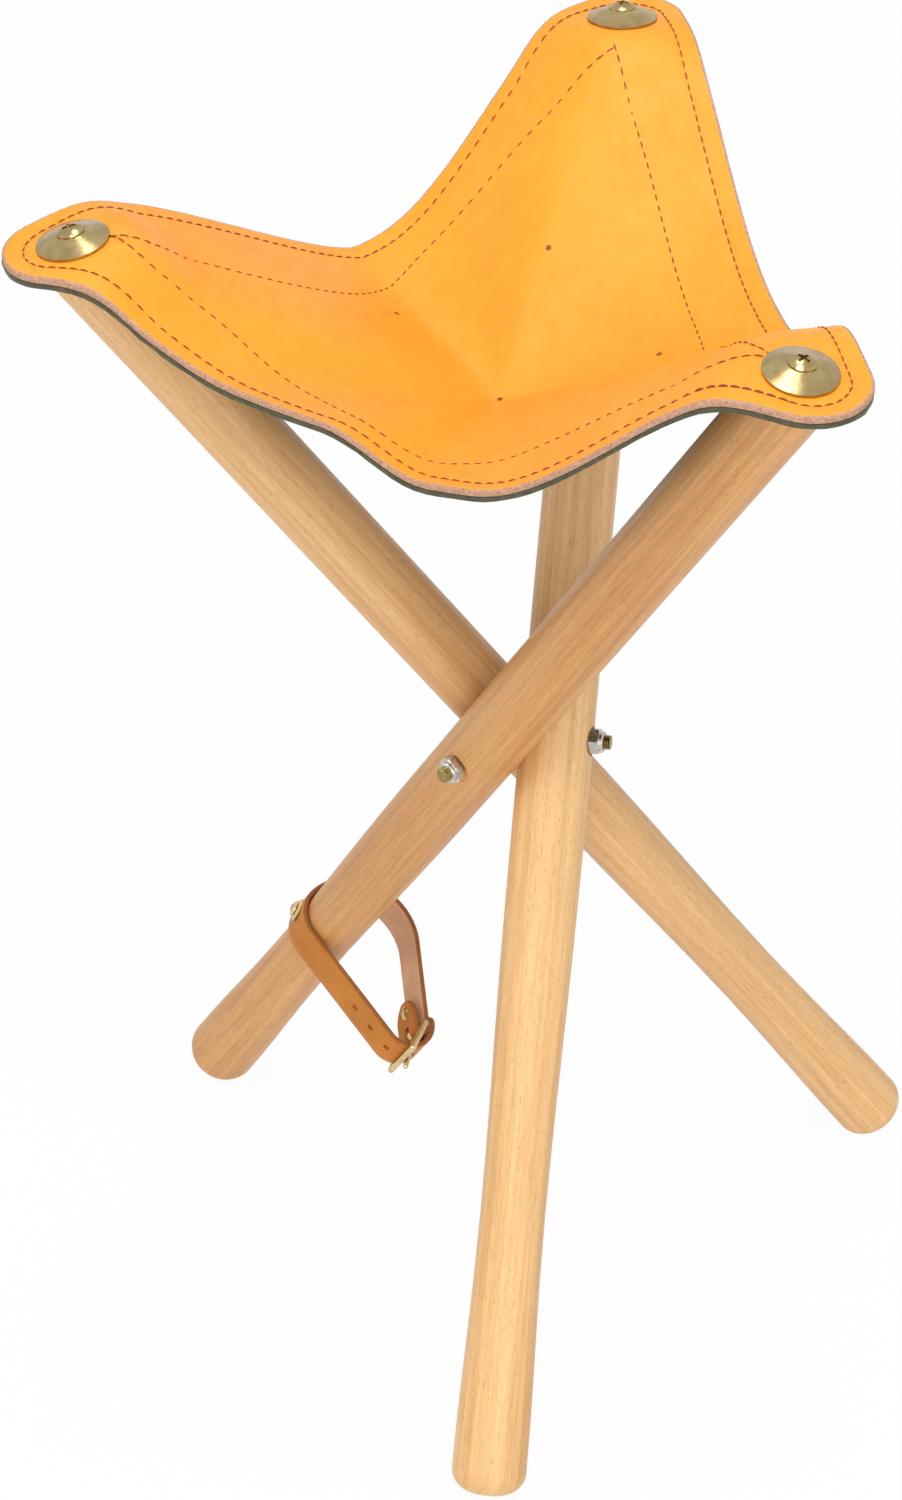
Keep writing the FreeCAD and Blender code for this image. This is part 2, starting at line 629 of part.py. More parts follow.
def make_strap():
    """The strip, with its holes for the prong, the screw and the rivet and its slot at the buckle."""
    route = strap_route()
    half = val("strap_thick") / 2
    outer, inner = strap_side(route, half), strap_side(route, -half)
    ends = [Part.makeLine(outer[0].Vertexes[0].Point, inner[0].Vertexes[0].Point),
            Part.makeLine(outer[-1].Vertexes[-1].Point, inner[-1].Vertexes[-1].Point)]
    section = Part.Face(Part.Wire(Part.__sortEdges__(outer + inner + ends)))
    width = val("strap_width")
    strip = doc.addObject("Part::Feature", "strap_strip")
    strip.Shape = section.translated(Vector(0, 0, -width / 2)).extrude(Vector(0, 0, width))
    tools = []
    wrap = strap_leg_radius() + half
    depth = 3 * val("strap_thick")
    through = "dims.strap_thick * 6"
    for number in range(int(val("strap_holes"))):
        down = val("strap_drop") - val("first_hole") - number * val("strap_hole_pitch")
        outside = Placement(Vector(down, wrap + depth, 0), Rotation(X_AXIS, 90))
        hole = primitive("Cylinder", f"strap_hole_{number}", outside)
        tools.append(bind(hole, Radius=cell("strap_hole_radius"), Height=through))
    screw_hole = primitive("Cylinder", "strap_screw_hole", strap_frame().inverse() * strap_screw_place(-depth))
    tools.append(bind(screw_hole, Radius="dims.strap_screw_radius + dims.seat_gap", Height=through))
    prong_hole = primitive("Cylinder", "strap_prong_hole", prong_line(-val("prong_slot")))
    tools.append(bind(prong_hole, Radius="dims.prong_wire + dims.prong_ease", Height=cell("tool_reach")))
    slot_start = Placement(buckle_bar() - Vector(0, 0, val("prong_slot") / 2), Rotation())
    prong_slot = primitive("Cylinder", "strap_prong_slot", slot_start)
    bind(prong_slot, Radius="dims.buckle_wire + dims.strap_thick + dims.prong_ease", Height=cell("prong_slot"))
    tools.append(prong_slot)
    rivet_hole = primitive("Cylinder", "strap_rivet_hole", rivet_place(-val("strap_flap") / 2))
    tools.append(bind(rivet_hole, Radius=cell("rivet_radius"), Height=cell("strap_flap")))
    add_node("strap", cut("strap", strip, *tools), on_leg("left", 0) * strap_frame())


def prong_line(start):
    """Place on the prong, Z from the hinge bar over the end bar, in the strap's frame."""
    bar, end = buckle_bar(), buckle_end()
    lift = val("buckle_wire") + val("prong_wire") + val("fold_gap")
    along = end - bar
    out = Vector(along.y, -along.x, 0).normalize()
    tip = end + out * lift
    return Placement(bar, Rotation(Z_AXIS, tip - bar)) * Placement(Vector(0, 0, start), Rotation())


def rivet_place(lift):
    """Place through the flap, Z square to the strap, at the layers' meeting face."""
    bar = buckle_bar()
    angle = strap_route()[-1][2]
    up = math.radians(angle - 90)
    along = Vector(math.cos(up), math.sin(up), 0)
    face = polar(Vector(), 1, angle)
    middle = bar + along * val("rivet_reach")
    return Placement(middle, Rotation(Z_AXIS, face)) * Placement(Vector(0, 0, lift), Rotation())


# Strap fittings: cup washer and screw, wire buckle with its prong, and a two-headed rivet.
def make_strap_fittings():
    """What holds the strap to the leg and to itself."""
    leg = on_leg("left", 0)
    inner = "dims.strap_screw_radius + dims.hinge_clearance"
    corners = [
        (inner, cell("cup_throat")), ("dims.cup_radius - dims.cup_edge", "0"), (cell("cup_radius"), "0"),
        (f"{inner} + dims.cup_lip", cell("cup_rise")), (inner, cell("cup_rise")),
    ]
    cup = revolve("strap_cup_washer", profile("strap_cup_profile", corners))
    add_node("strap_cup_washer", cup, leg * strap_screw_place(0))
    lift = val("cup_rise")
    make_screw("strap_screw", "strap_screw", lift, leg * strap_screw_place(lift))
    plane = leg * strap_frame()
    make_buckle(plane)
    heads = val("strap_thick") + val("buckle_wire") + val("fold_gap")
    shank = primitive("Cylinder", "rivet_shank", Placement(Vector(0, 0, -heads), Rotation()))
    bind(shank, Radius=cell("rivet_radius"), Height=f"{2 * heads}")
    dome = "(dims.rivet_head_radius^2 + dims.rivet_head_rise^2) / (2 * dims.rivet_head_rise)"
    caps = []
    for number, flip in enumerate((0, 180)):
        outline = [("0", "0"), (cell("rivet_head_radius"), "0"), ("0", cell("rivet_head_rise"))]
        cap = revolve(f"rivet_cap_{number}", profile(f"rivet_cap_profile_{number}", outline, {1: (dome, 1)}))
        turn = Placement(Vector(), Rotation(X_AXIS, flip))
        cap.Placement = turn * Placement(Vector(0, 0, heads), Rotation())
        caps.append(cap)
    add_node("strap_rivet", fuse("strap_rivet", shank, *caps), plane * rivet_place(0))


def wire(label, start, end, radius):
    """A straight round bar between two points."""
    bar = primitive("Cylinder", label, Placement(start, Rotation(Z_AXIS, end - start)))
    return bind(bar, Radius=radius, Height=f"{(end - start).Length}")


def make_buckle(plane):
    """A frame of round wire with a prong that turns on its inner bar."""
    bar, end = buckle_bar(), buckle_end()
    half = Vector(0, 0, val("buckle_width") / 2)
    corners = [bar - half, end - half, end + half, bar + half]
    pieces = []
    for number, corner in enumerate(corners):
        after = corners[(number + 1) % 4]
        pieces.append(wire(f"buckle_bar_{number}", corner, after, cell("buckle_wire")))
        joint = primitive("Sphere", f"buckle_corner_{number}", Placement(corner, Rotation()))
        pieces.append(bind(joint, Radius=cell("buckle_wire")))
    add_node("buckle_frame", fuse("buckle_frame", *pieces), plane)
    eye = primitive("Cylinder", "prong_eye", Placement(bar - Vector(0, 0, val("prong_eye") / 2), Rotation()))
    bind(eye, Radius="dims.buckle_wire + dims.prong_wire * dims.prong_eye_share", Height=cell("prong_eye"))
    bore_start = Placement(bar - Vector(0, 0, val("prong_eye")), Rotation())
    eye_bore = primitive("Cylinder", "prong_eye_bore", bore_start)
    bind(eye_bore, Radius="dims.buckle_wire + dims.hinge_clearance", Height="dims.prong_eye * 2")
    span = (end - bar).Length + val("buckle_wire") + val("prong_over")
    shaft = primitive("Cylinder", "prong_shaft", prong_line(0))
    bind(shaft, Radius=cell("prong_wire"), Height=f"{span}")
    tip = primitive("Sphere", "prong_tip", prong_line(span), Radius=cell("prong_wire"))
    add_node("buckle_prong", cut("buckle_prong", fuse("prong_solid", eye, shaft, tip), eye_bore), plane)


make_bolt()
for side in SIDES:
    make_nut(side)
    make_leg(side)
    make_seat_fixing(side)
make_seat_layer("seat_leather", 0, val("leather_thick"))
make_seat_layer("seat_backing", val("leather_thick") + val("layer_gap"), val("backing_thick"))
make_strap()
make_strap_fittings()
doc.recompute()

# The origin moves under the middle of the standing stool.
whole = FreeCAD.BoundBox()
for node in nodes.values():
    for point in node.Shape.tessellate(FINE)[0]:
        whole.add(point)
shift = Vector(-whole.Center.x, -whole.Center.y, 0)
for node in nodes.values():
    node.Placement = Placement(shift, Rotation()) * node.Placement
doc.recompute()

for thing in doc.Objects:
    if "Invalid" in thing.State or "Error" in thing.State:
        raise RuntimeError(f"{thing.Name} failed: {thing.State}")
os.makedirs("parts", exist_ok=True)
for name, node in nodes.items():
    shape = node.Shape
    if shape.isNull() or not shape.isValid() or len(shape.Solids) != 1:
        raise RuntimeError(f"{name} is not one valid solid")
    shape.exportStep(f"parts/{name}.step")

place = Placement(shift, Rotation()) * HUB
print("hinge centre", [round(x, 3) for x in place.Base])
for side, turn in SIDES.items():
    arm = place.Rotation.multVec(Rotation(Z_AXIS, turn).multVec(X_AXIS))
    print("arm", side, [round(x, 6) for x in arm])
plane = Placement(shift, Rotation()) * on_leg("left", 0) * strap_frame()
print("strap turns about", [round(x, 3) for x in plane.Base])
print("strap axis", [round(x, 6) for x in plane.Rotation.multVec(Z_AXIS)])
print("prong turns about", [round(x, 3) for x in plane.multVec(buckle_bar())])
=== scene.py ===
"""Folding tripod stool with a leather seat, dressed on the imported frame. Metres, +Z up."""
import json
import math

import bpy
import numpy as np
from mathutils import Matrix, Vector, noise


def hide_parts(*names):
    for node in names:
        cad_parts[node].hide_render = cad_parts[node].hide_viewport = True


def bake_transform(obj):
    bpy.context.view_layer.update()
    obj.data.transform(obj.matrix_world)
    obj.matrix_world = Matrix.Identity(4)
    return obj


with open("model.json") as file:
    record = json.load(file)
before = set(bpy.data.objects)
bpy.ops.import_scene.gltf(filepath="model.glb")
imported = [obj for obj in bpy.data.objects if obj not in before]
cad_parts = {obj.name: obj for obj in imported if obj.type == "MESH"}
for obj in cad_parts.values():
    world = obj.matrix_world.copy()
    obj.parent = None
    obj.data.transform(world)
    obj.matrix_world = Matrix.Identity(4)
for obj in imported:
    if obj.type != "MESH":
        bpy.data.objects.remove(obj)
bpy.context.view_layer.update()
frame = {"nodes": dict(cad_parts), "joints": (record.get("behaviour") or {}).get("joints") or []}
nodes = frame["nodes"]
joints = {joint["name"]: joint for joint in frame["joints"]}
SIDES = ("left", "front", "right")


# Legs: three beech poles, turned, sanded and sealed with a thin clear varnish. The grain runs
# along each pole, with soft growth bands, fine fibres and the short brown flecks of beech.
class Shade:
    """A socket in a material's nodes; sums and products of sockets become Math nodes."""

    def __init__(self, tree, socket):
        self.tree = tree
        self.socket = socket

    def node(self, kind, inputs, output=0, **settings):
        """Add any node; each input, by name or number, is a plain value or another Shade."""
        made = self.tree.nodes.new(kind)
        for name, value in settings.items():
            setattr(made, name, value)
        for name, value in inputs.items():
            if isinstance(value, Shade):
                self.tree.links.new(value.socket, made.inputs[name])
            else:
                made.inputs[name].default_value = value
        return Shade(self.tree, made.outputs[output])

    def __add__(self, other):
        return self.node("ShaderNodeMath", {0: self, 1: other}, operation="ADD")

    def __sub__(self, other):
        return self.node("ShaderNodeMath", {0: self, 1: other}, operation="SUBTRACT")

    def __mul__(self, other):
        return self.node("ShaderNodeMath", {0: self, 1: other}, operation="MULTIPLY")


def paint(red, green, blue):
    """A colour given as a picture shows it, from 0 to 255, as the linear one that a shader takes."""
    linear = []
    for part in (red, green, blue):
        part /= 255
        linear.append(part / 12.92 if part <= 0.04045 else ((part + 0.055) / 1.055) ** 2.4)
    return (*linear, 1.0)


def new_finish(name, **sockets):
    """A material with one surface shader whose constant sockets are set, and its surface node."""
    material = bpy.data.materials.new(name)
    material.use_nodes = True
    tree = material.node_tree
    tree.nodes.clear()
    surface = tree.nodes.new("ShaderNodeBsdfPrincipled")
    output = tree.nodes.new("ShaderNodeOutputMaterial")
    tree.links.new(surface.outputs["BSDF"], output.inputs["Surface"])
    for socket, value in sockets.items():
        surface.inputs[socket.replace("_", " ")].default_value = value
    return material, surface


def object_place(material):
    """Each point's own place in metres."""
    tree = material.node_tree
    return Shade(tree, tree.nodes.new("ShaderNodeTexCoord").outputs["Object"])


def speckle(place, scale, detail=2.0, stretch=(1.0, 1.0, 1.0), roughness=0.5):
    """Soft noise from 0 to 1, stretched along an axis where stretch is small."""
    moved = place.node("ShaderNodeVectorMath", {0: place, 1: stretch}, operation="MULTIPLY")
    return place.node("ShaderNodeTexNoise",
                      {"Vector": moved, "Scale": scale, "Detail": detail, "Roughness": roughness})


def between(value, low, high, bottom=0.0, top=1.0):
    """Map a value from low..high to bottom..top, with nothing beyond them."""
    return value.node("ShaderNodeMapRange", {"Value": value, "From Min": low, "From Max": high,
                                             "To Min": bottom, "To Max": top})


def tint(share, first, second):
    """Mix two colours, plain or from nodes."""
    return share.node("ShaderNodeMix", {"Factor": share, 6: first, 7: second}, output=2, data_type="RGBA")


def feed(surface, socket, shade):
    """Link a varying value to one of the surface shader's sockets."""
    shade.tree.links.new(shade.socket, surface.inputs[socket])


def dent(surface, height, strength, distance):
    """Give the surface relief from a height between 0 and 1."""
    bump = height.node("ShaderNodeBump", {"Height": height, "Strength": strength, "Distance": distance})
    feed(surface, "Normal", bump)


def wear(node_name, material):
    """Give a CAD node its finish."""
    slots = nodes[node_name].data.materials
    slots.clear()
    slots.append(material)


def beech(name, foot, along, seed, pale, deep):
    """Beech with its grain along a pole that starts at foot."""
    material, surface = new_finish(name, Coat_Weight=0.10, Coat_Roughness=0.32)
    place = object_place(material)
    turn = along.to_track_quat("Z", "Y").to_euler()
    local = place.node("ShaderNodeMapping", {"Vector": place, "Location": foot, "Rotation": turn},
                       vector_type="TEXTURE")
    local = local.node("ShaderNodeVectorMath", {0: local, 1: (seed, seed * 0.7, seed * 0.4)}, operation="ADD")
    growth = speckle(local, 130.0, 2.0, stretch=(1.0, 0.6, 0.016), roughness=0.6)
    streaks = speckle(local, 420.0, 3.0, stretch=(1.0, 1.0, 0.014), roughness=0.6)
    patches = speckle(local, 14.0, stretch=(1.0, 1.0, 0.3))
    fibres = speckle(local, 1500.0, 3.0, stretch=(1.0, 1.0, 0.035), roughness=0.6)
    flecks = between(speckle(local, 2300.0, 1.0, stretch=(1.0, 1.0, 0.11)), 0.60, 0.72)
    share = growth * 0.34 + streaks * 0.30 + patches * 0.14 + fibres * 0.22
    wood = tint(between(share, 0.39, 0.61), pale, deep)
    feed(surface, "Base Color", tint(flecks * 0.38, wood, paint(150, 96, 50)))
    feed(surface, "Roughness", between(fibres, 0.2, 0.8, 0.40, 0.52))
    dent(surface, fibres - flecks * 0.6, 0.16, 0.0003)
    return material


# The legs are one beech; their colours differ only as painted light: the front leg is painted palest and the
# right leg a little less, for the light on them, and the left leg darkest, for its shade.
LEG_COLOURS_WITH_PAINTED_LIGHT = {
    "left": (paint(226, 170, 103), paint(188, 126, 64)),
    "front": (paint(246, 203, 143), paint(217, 163, 101)),
    "right": (paint(240, 194, 134), paint(208, 152, 92)),
}
LEANS = {"left": 35.4, "front": 31.1, "right": 32.95}
HINGE_TO_FOOT = 0.3145
LEG_OFFSET = 0.0188
GRAIN_STEP = 0.31
arms = {side: Vector(joints[f"fold_{side}"]["axis"]).normalized() for side in SIDES}
hub = Vector(joints["fold_left"]["pos_m"])
hub_up = arms["left"].cross(arms["front"]).normalized()
for number, side in enumerate(SIDES):
    lean = Matrix.Rotation(math.radians(-LEANS[side]), 3, arms[side])
    along_leg = lean @ hub_up
    foot_end = hub + arms[side] * LEG_OFFSET - along_leg * HINGE_TO_FOOT
    pale, deep = LEG_COLOURS_WITH_PAINTED_LIGHT[side]
    wear(f"leg_{side}", beech(f"beech_{side}", foot_end, along_leg, GRAIN_STEP * number, pale, deep))


# Three-way bolt with its lock nuts: yellow passivated steel arms, bright zinc nuts and the
# pale nylon rings that keep the nuts from turning.
def plated(name, colour, dull, rough):
    """Zinc-plated steel: a metal with faint cloudy patches and fine scratches."""
    material, surface = new_finish(name, Metallic=1.0)
    place = object_place(material)
    clouds = speckle(place, 260.0, 3.0)
    feed(surface, "Base Color", tint(between(clouds, 0.3, 0.7), colour, dull))
    feed(surface, "Roughness", between(speckle(place, 900.0), 0.3, 0.7, rough, rough + 0.16))
    dent(surface, speckle(place, 1600.0, 1.0), 0.12, 0.0001)
    return material


def nylon(name):
    """Natural nylon, slightly cloudy."""
    material, surface = new_finish(name, Roughness=0.45, Subsurface_Weight=0.15, Subsurface_Scale=0.001)
    place = object_place(material)
    feed(surface, "Base Color", tint(speckle(place, 700.0), paint(232, 228, 214), paint(208, 202, 184)))
    return material


bright_zinc = plated("bright_zinc", paint(214, 212, 208), paint(176, 174, 168), 0.22)
nut_ring = nylon("nut_ring")
wear("three_way_bolt", plated("yellow_zinc", paint(172, 150, 94), paint(124, 106, 66), 0.26))
for side in SIDES:
    wear(f"lock_nut_{side}", bright_zinc)
    wear(f"nylon_ring_{side}", nut_ring)


# Seat felt: a dark olive felt cut to the seat's outline and sewn under the leather. The seat is
# a triangle with three round ears; it hangs from the leg tops and is lowest near its middle.
MILLIMETRE = 0.001
LOW_POINT = Vector((0.008442, -0.002229))
# Each ear's middle on the leather, and the way that the ear faces.
EARS = {
    "left": (Vector((0.13898, -0.09285, 0.51280)), Vector((0.1438, -0.0667, 0.9874))),
    "front": (Vector((0.02287, 0.15499, 0.51329)), Vector((-0.0275, 0.1559, 0.9874))),
    "right": (Vector((-0.14043, -0.05505, 0.51070)), Vector((-0.1621, -0.0456, 0.9857))),
}
EAR_RADIUS = 0.0238
EAR_SHIFT = 0.003
EAR_FLAT = 0.017
EAR_BEND = 0.030
EAR_EASE = 0.8
EAR_ROUNDING = 0.006
LARGE_FALL = 30
CENTRE_DROP = 0.083
CENTRE_ROUNDING = 0.008
PUCKER = Vector((0.0045, -0.0070))
PUCKER_DEPTH = 0.0014
PUCKER_SIZE = 0.006
LEATHER_THICK = 0.0028
FELT_THICK = 0.0022
LAYER_GAP = 0.00005
STITCH_INSET = 0.008


def compass(x, y):
    """Angle in degrees of a point seen from the seat's low point."""
    return math.degrees(math.atan2(y - LOW_POINT.y, x - LOW_POINT.x))


EAR_ANGLES = {side: compass(ear[0].x, ear[0].y) for side, ear in EARS.items()}
EAR_ANGLES["right"] %= 360
# Direction in degrees, how steep the leather is there, and how the slope bows on the way to the next.
SLOPES = [
    (EAR_ANGLES["left"], 0.67, 1.0), (10.0, 0.35, 1.3),
    (EAR_ANGLES["front"], 0.60, 1.3), (135.0, 0.125, 0.6),
    (EAR_ANGLES["right"], 0.60, 1.0), (228.0, 0.447, 1.0), (243.0, 0.447, 1.0),
    (268.0, 0.267, 1.0), (277.0, 0.267, 1.0), (EAR_ANGLES["left"] + 360, 0.67, 1.0),
]


def slope_at(angle):
    """How steeply the leather rises from the low point in a direction."""
    angle = (angle - SLOPES[0][0]) % 360 + SLOPES[0][0]
    for (start, first, bow), (end, last, _) in zip(SLOPES, SLOPES[1:]):
        if angle <= end:
            share = (angle - start) / (end - start)
            from_low = share if first <= last else 1 - share
            rise = ((1 - math.cos(math.pi * from_low)) / 2) ** bow
            return min(first, last) + abs(last - first) * rise
    return SLOPES[-1][1]


def plane_height(point, normal, x, y):
    """Height of a plane above a spot on the floor."""
    return point.z - ((x - point.x) * normal.x + (y - point.y) * normal.y) / normal.z


three_points = [EARS[side][0] for side in SIDES]
ear_plane = (three_points[1] - three_points[0]).cross(three_points[2] - three_points[0])
ear_plane = ear_plane if ear_plane.z > 0 else -ear_plane


def seat_height(x, y):
    """Height of the leather's upper face above a spot on the floor."""
    reach = math.hypot(x - LOW_POINT.x, y - LOW_POINT.y)
    run = math.hypot(reach, CENTRE_ROUNDING) - CENTRE_ROUNDING
    left_to_fall = (CENTRE_DROP - slope_at(compass(x, y)) * run) / EAR_ROUNDING
    if left_to_fall < LARGE_FALL:
        left_to_fall = math.log1p(math.exp(left_to_fall))
    fall = EAR_ROUNDING * left_to_fall
    height = plane_height(three_points[0], ear_plane, x, y) - fall
    height -= PUCKER_DEPTH * math.exp(-((x - PUCKER.x) ** 2 + (y - PUCKER.y) ** 2) / PUCKER_SIZE ** 2)
    for point, normal in EARS.values():
        away = math.hypot(x - point.x, y - point.y)
        step = min(max((away - EAR_FLAT) / EAR_BEND, 0), 1)
        share = (1 - step) ** 2 * (1 + EAR_EASE * step)
        height += share * (plane_height(point, normal, x, y) - height)
    return height


# The seat is made of six panels that share their border points and normals. A panel
# lies between an ear's ridge and a line that stays with the bolt.
STILL_TURN = 40.0
STILL_ANGLES = {side: angle + STILL_TURN for side, angle in EAR_ANGLES.items()}
STILL_LINE_START = 0.03
STILL_LINE_END = 0.09
BEND_START = 0.82
BEND_TILT = {"near": 0.5, "far": 1.0}
BEND_DEPTH = CENTRE_ROUNDING * 0.6
EDGE_STEP = 0.0045
ARC_STEPS = 9


def ray(angle):
    """Direction on the floor plan."""
    return Vector((math.cos(math.radians(angle)), math.sin(math.radians(angle))))


def next_side(side):
    """The side that follows on the way round the seat."""
    return SIDES[(SIDES.index(side) + 1) % len(SIDES)]


def panel_leg(side, half):
    """The side of the leg under the ear that a panel carries half of."""
    return side if half == "near" else next_side(side)


def seat_outline():
    """Points and outward normals round the seat's edge, and where each panel starts and ends."""
    centres = []
    for side in SIDES:
        spot = EARS[side][0].to_2d()
        centres.append(spot + (spot - LOW_POINT).normalized() * EAR_SHIFT)
    rim = []
    ends = {}

    def arc(middle, first, last):
        for step in range(ARC_STEPS):
            normal = ray(first + (last - first) * step / ARC_STEPS)
            rim.append((middle + normal * EAR_RADIUS, normal))

    def straight(start, finish, normal):
        count = max(1, round((finish - start).length / EDGE_STEP))
        for step in range(count):
            rim.append((start.lerp(finish, step / count), normal))

    for i, side in enumerate(SIDES):
        middle, after, before = centres[i], centres[(i + 1) % 3], centres[i - 1]
        run_in = (middle - before).normalized()
        run_out = (after - middle).normalized()
        normal_in = Vector((run_in.y, -run_in.x))
        normal_out = Vector((run_out.y, -run_out.x))
        first = math.degrees(math.atan2(normal_in.y, normal_in.x))
        last = first + (math.degrees(math.atan2(normal_out.y, normal_out.x)) - first) % 360
        ridge = first + (EAR_ANGLES[side] - first) % 360
        arc(middle, first, ridge)
        ends[side, "ridge"] = len(rim)
        arc(middle, ridge, last)
        start = middle + normal_out * EAR_RADIUS
        finish = after + normal_out * EAR_RADIUS
        line = ray(STILL_ANGLES[side])
        across = Vector((-line.y, line.x))
        share = -(start - LOW_POINT).dot(across) / (finish - start).dot(across)
        crossing = start.lerp(finish, share)
        straight(start, crossing, normal_out)
        ends[side, "still"] = len(rim)
        straight(crossing, finish, normal_out)
    return rim, ends


RIM, PANEL_ENDS = seat_outline()
INNER_RINGS = 26
FLAT_INSETS = (0.012, 0.010, 0.0088, 0.0080, 0.0072, 0.006, 0.004, 0.0022, 0.0011)
STITCH_DIPS = {0.0088: 0.00008, 0.0080: 0.00028, 0.0072: 0.00008}
FRAY_SCALE = 210
FRAY_LAYER_SCALE = 900


def panel_columns(side, half):
    """Numbers of the outline points that belong to one panel."""
    if half == "near":
        first, last = PANEL_ENDS[side, "ridge"], PANEL_ENDS[side, "still"]
    else:
        first, last = PANEL_ENDS[side, "still"], PANEL_ENDS[next_side(side), "ridge"]
    if last < first:
        last += len(RIM)
    return [number % len(RIM) for number in range(first, last + 1)]


def layer_grid(below, thick, rounding, fray):
    """Points of a whole seat layer, a column for each outline point and a row for each ring."""
    bend = [(0.5, 0.08), (0.16, 0.3), (0.0, 0.75)]
    edge = [(inset * rounding, depth * rounding) for inset, depth in bend]
    edge.append((0.0, thick / 2))
    edge += [(inset * rounding, thick - depth * rounding) for inset, depth in reversed(bend)]
    columns = []
    for spot, normal in RIM:
        rough = fray * noise.noise((spot.x * FRAY_SCALE, spot.y * FRAY_SCALE, below * FRAY_LAYER_SCALE))
        inner = spot - normal * FLAT_INSETS[0]
        top = [(LOW_POINT.lerp(inner, ring / INNER_RINGS), 0.0) for ring in range(1, INNER_RINGS)]
        top += [(spot - normal * inset, STITCH_DIPS.get(inset, 0.0) if below == 0 else 0.0)
                for inset in FLAT_INSETS]
        bottom = [(place, thick) for place, _ in reversed(top)]
        side_wall = [(spot - normal * (inset + rough), depth) for inset, depth in edge]
        columns.append([(place.x, place.y, seat_height(place.x, place.y) - below - depth)
                        for place, depth in top + side_wall + bottom])
    return np.array(columns), len(top), len(edge)


def on_seat(spot):
    """Point of the leather above a spot on the floor plan."""
    return Vector((spot.x, spot.y, seat_height(spot.x, spot.y)))


def panel_name(layer, side, half):
    """Name of one panel of a layer: the ear it starts from and whether it is near that ear or far."""
    return f"{layer}_{side}_{half}"


def bend_with_leg(piece, side, half):
    """Work out how a panel would bend from its still line towards its leg's ear.
    The panel is left unbent; its placement is baked into its points.
    """
    body_side = panel_leg(side, half)
    line = ray(STILL_ANGLES[side])
    ear = EARS[body_side][0].to_2d() - LOW_POINT
    across = (ear - line * ear.dot(line)).normalized().to_3d()
    rise = on_seat(LOW_POINT + line * STILL_LINE_END) - on_seat(LOW_POINT + line * STILL_LINE_START)
    square = line.to_3d().cross(Vector((0.0, 0.0, 1.0))).cross(rise).normalized()
    square = square if square.z > 0 else -square
    way = (across + square * BEND_TILT[half]).normalized()
    end = on_seat(LOW_POINT) - Vector((0.0, 0.0, BEND_DEPTH))
    reach = (on_seat(LOW_POINT + ear * BEND_START) - end).dot(way)
    end + way * reach
    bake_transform(piece)


def hang(piece):
    """Work out a panel's longest reach and its width, as a wedge with its tip at the seat's low point.
    The sizes are not used.
    """
    mesh = piece.data
    tip = mesh.vertices[len(mesh.vertices) - 2].co
    spread = [vertex.co - tip for vertex in mesh.vertices]
    longest = max(spread, key=lambda reach: reach.length)
    width = max((reach - reach.project(longest)).length for reach in spread)


def make_panels(layer, below, thick, rounding, fray, finishes):
    """Build a layer of the seat as six panels that share their border points and normals."""
    grid, top_rows, edge_rows = layer_grid(below, thick, rounding, fray)
    along = np.roll(grid, -1, axis=0) - np.roll(grid, 1, axis=0)
    outward = np.empty_like(grid)
    outward[:, 1:-1] = grid[:, 2:] - grid[:, :-2]
    outward[:, 0] = grid[:, 1] - grid[:, 0]
    outward[:, -1] = grid[:, -1] - grid[:, -2]
    normals = np.cross(outward, along)
    normals /= np.linalg.norm(normals, axis=2, keepdims=True)
    rows = grid.shape[1]
    height = seat_height(LOW_POINT.x, LOW_POINT.y) - below
    pieces = {}
    for side in SIDES:
        for half in ("near", "far"):
            columns = panel_columns(side, half)
            points = [tuple(point) for number in columns for point in grid[number]]
            point_normals = [tuple(normal) for number in columns for normal in normals[number]]
            middle_top, middle_bottom = len(points), len(points) + 1
            points += [(LOW_POINT.x, LOW_POINT.y, height), (LOW_POINT.x, LOW_POINT.y, height - thick)]
            point_normals += [(0.0, 0.0, 1.0), (0.0, 0.0, -1.0)]
            faces = []
            zones = []
            for column in range(len(columns) - 1):
                here, there = column * rows, (column + 1) * rows
                faces.append((middle_top, here, there))
                zones.append(0)
                for row in range(rows - 1):
                    faces.append((here + row, here + row + 1, there + row + 1, there + row))
                    zones.append(0 if row < top_rows - 1 else 1 if row < top_rows + edge_rows else 2)
                faces.append((there + rows - 1, here + rows - 1, middle_bottom))
                zones.append(2)
            last = (len(columns) - 1) * rows
            for row in range(top_rows - 1):
                under = rows - 1 - row
                faces.append((row + 1, row, under, under - 1))
                faces.append((last + row, last + row + 1, last + under - 1, last + under))
            faces.append(tuple(reversed(range(top_rows - 1, rows - top_rows + 1))))
            faces.append(tuple(range(last + top_rows - 1, last + rows - top_rows + 1)))
            faces.append((0, middle_top, middle_bottom, rows - 1))
            faces.append((middle_top, last, last + rows - 1, middle_bottom))
            zones += [1] * (len(faces) - len(zones))
            mesh = bpy.data.meshes.new(panel_name(layer, side, half))
            mesh.from_pydata(points, [], faces)
            plan = mesh.uv_layers.new(name="plan")
            corner_points = np.empty(len(mesh.loops), np.int32)
            mesh.loops.foreach_get("vertex_index", corner_points)
            plan.data.foreach_set("uv", np.array(points)[corner_points, :2].astype(np.float32).ravel())
            mesh.polygons.foreach_set("use_smooth", [True] * len(faces))
            mesh.polygons.foreach_set("material_index", zones)
            for finish in finishes:
                mesh.materials.append(finish)
            mesh.normals_split_custom_set_from_vertices(point_normals)
            piece = bpy.data.objects.new(mesh.name, mesh)
            bpy.context.scene.collection.objects.link(piece)
            pieces[side, half] = piece
    return pieces


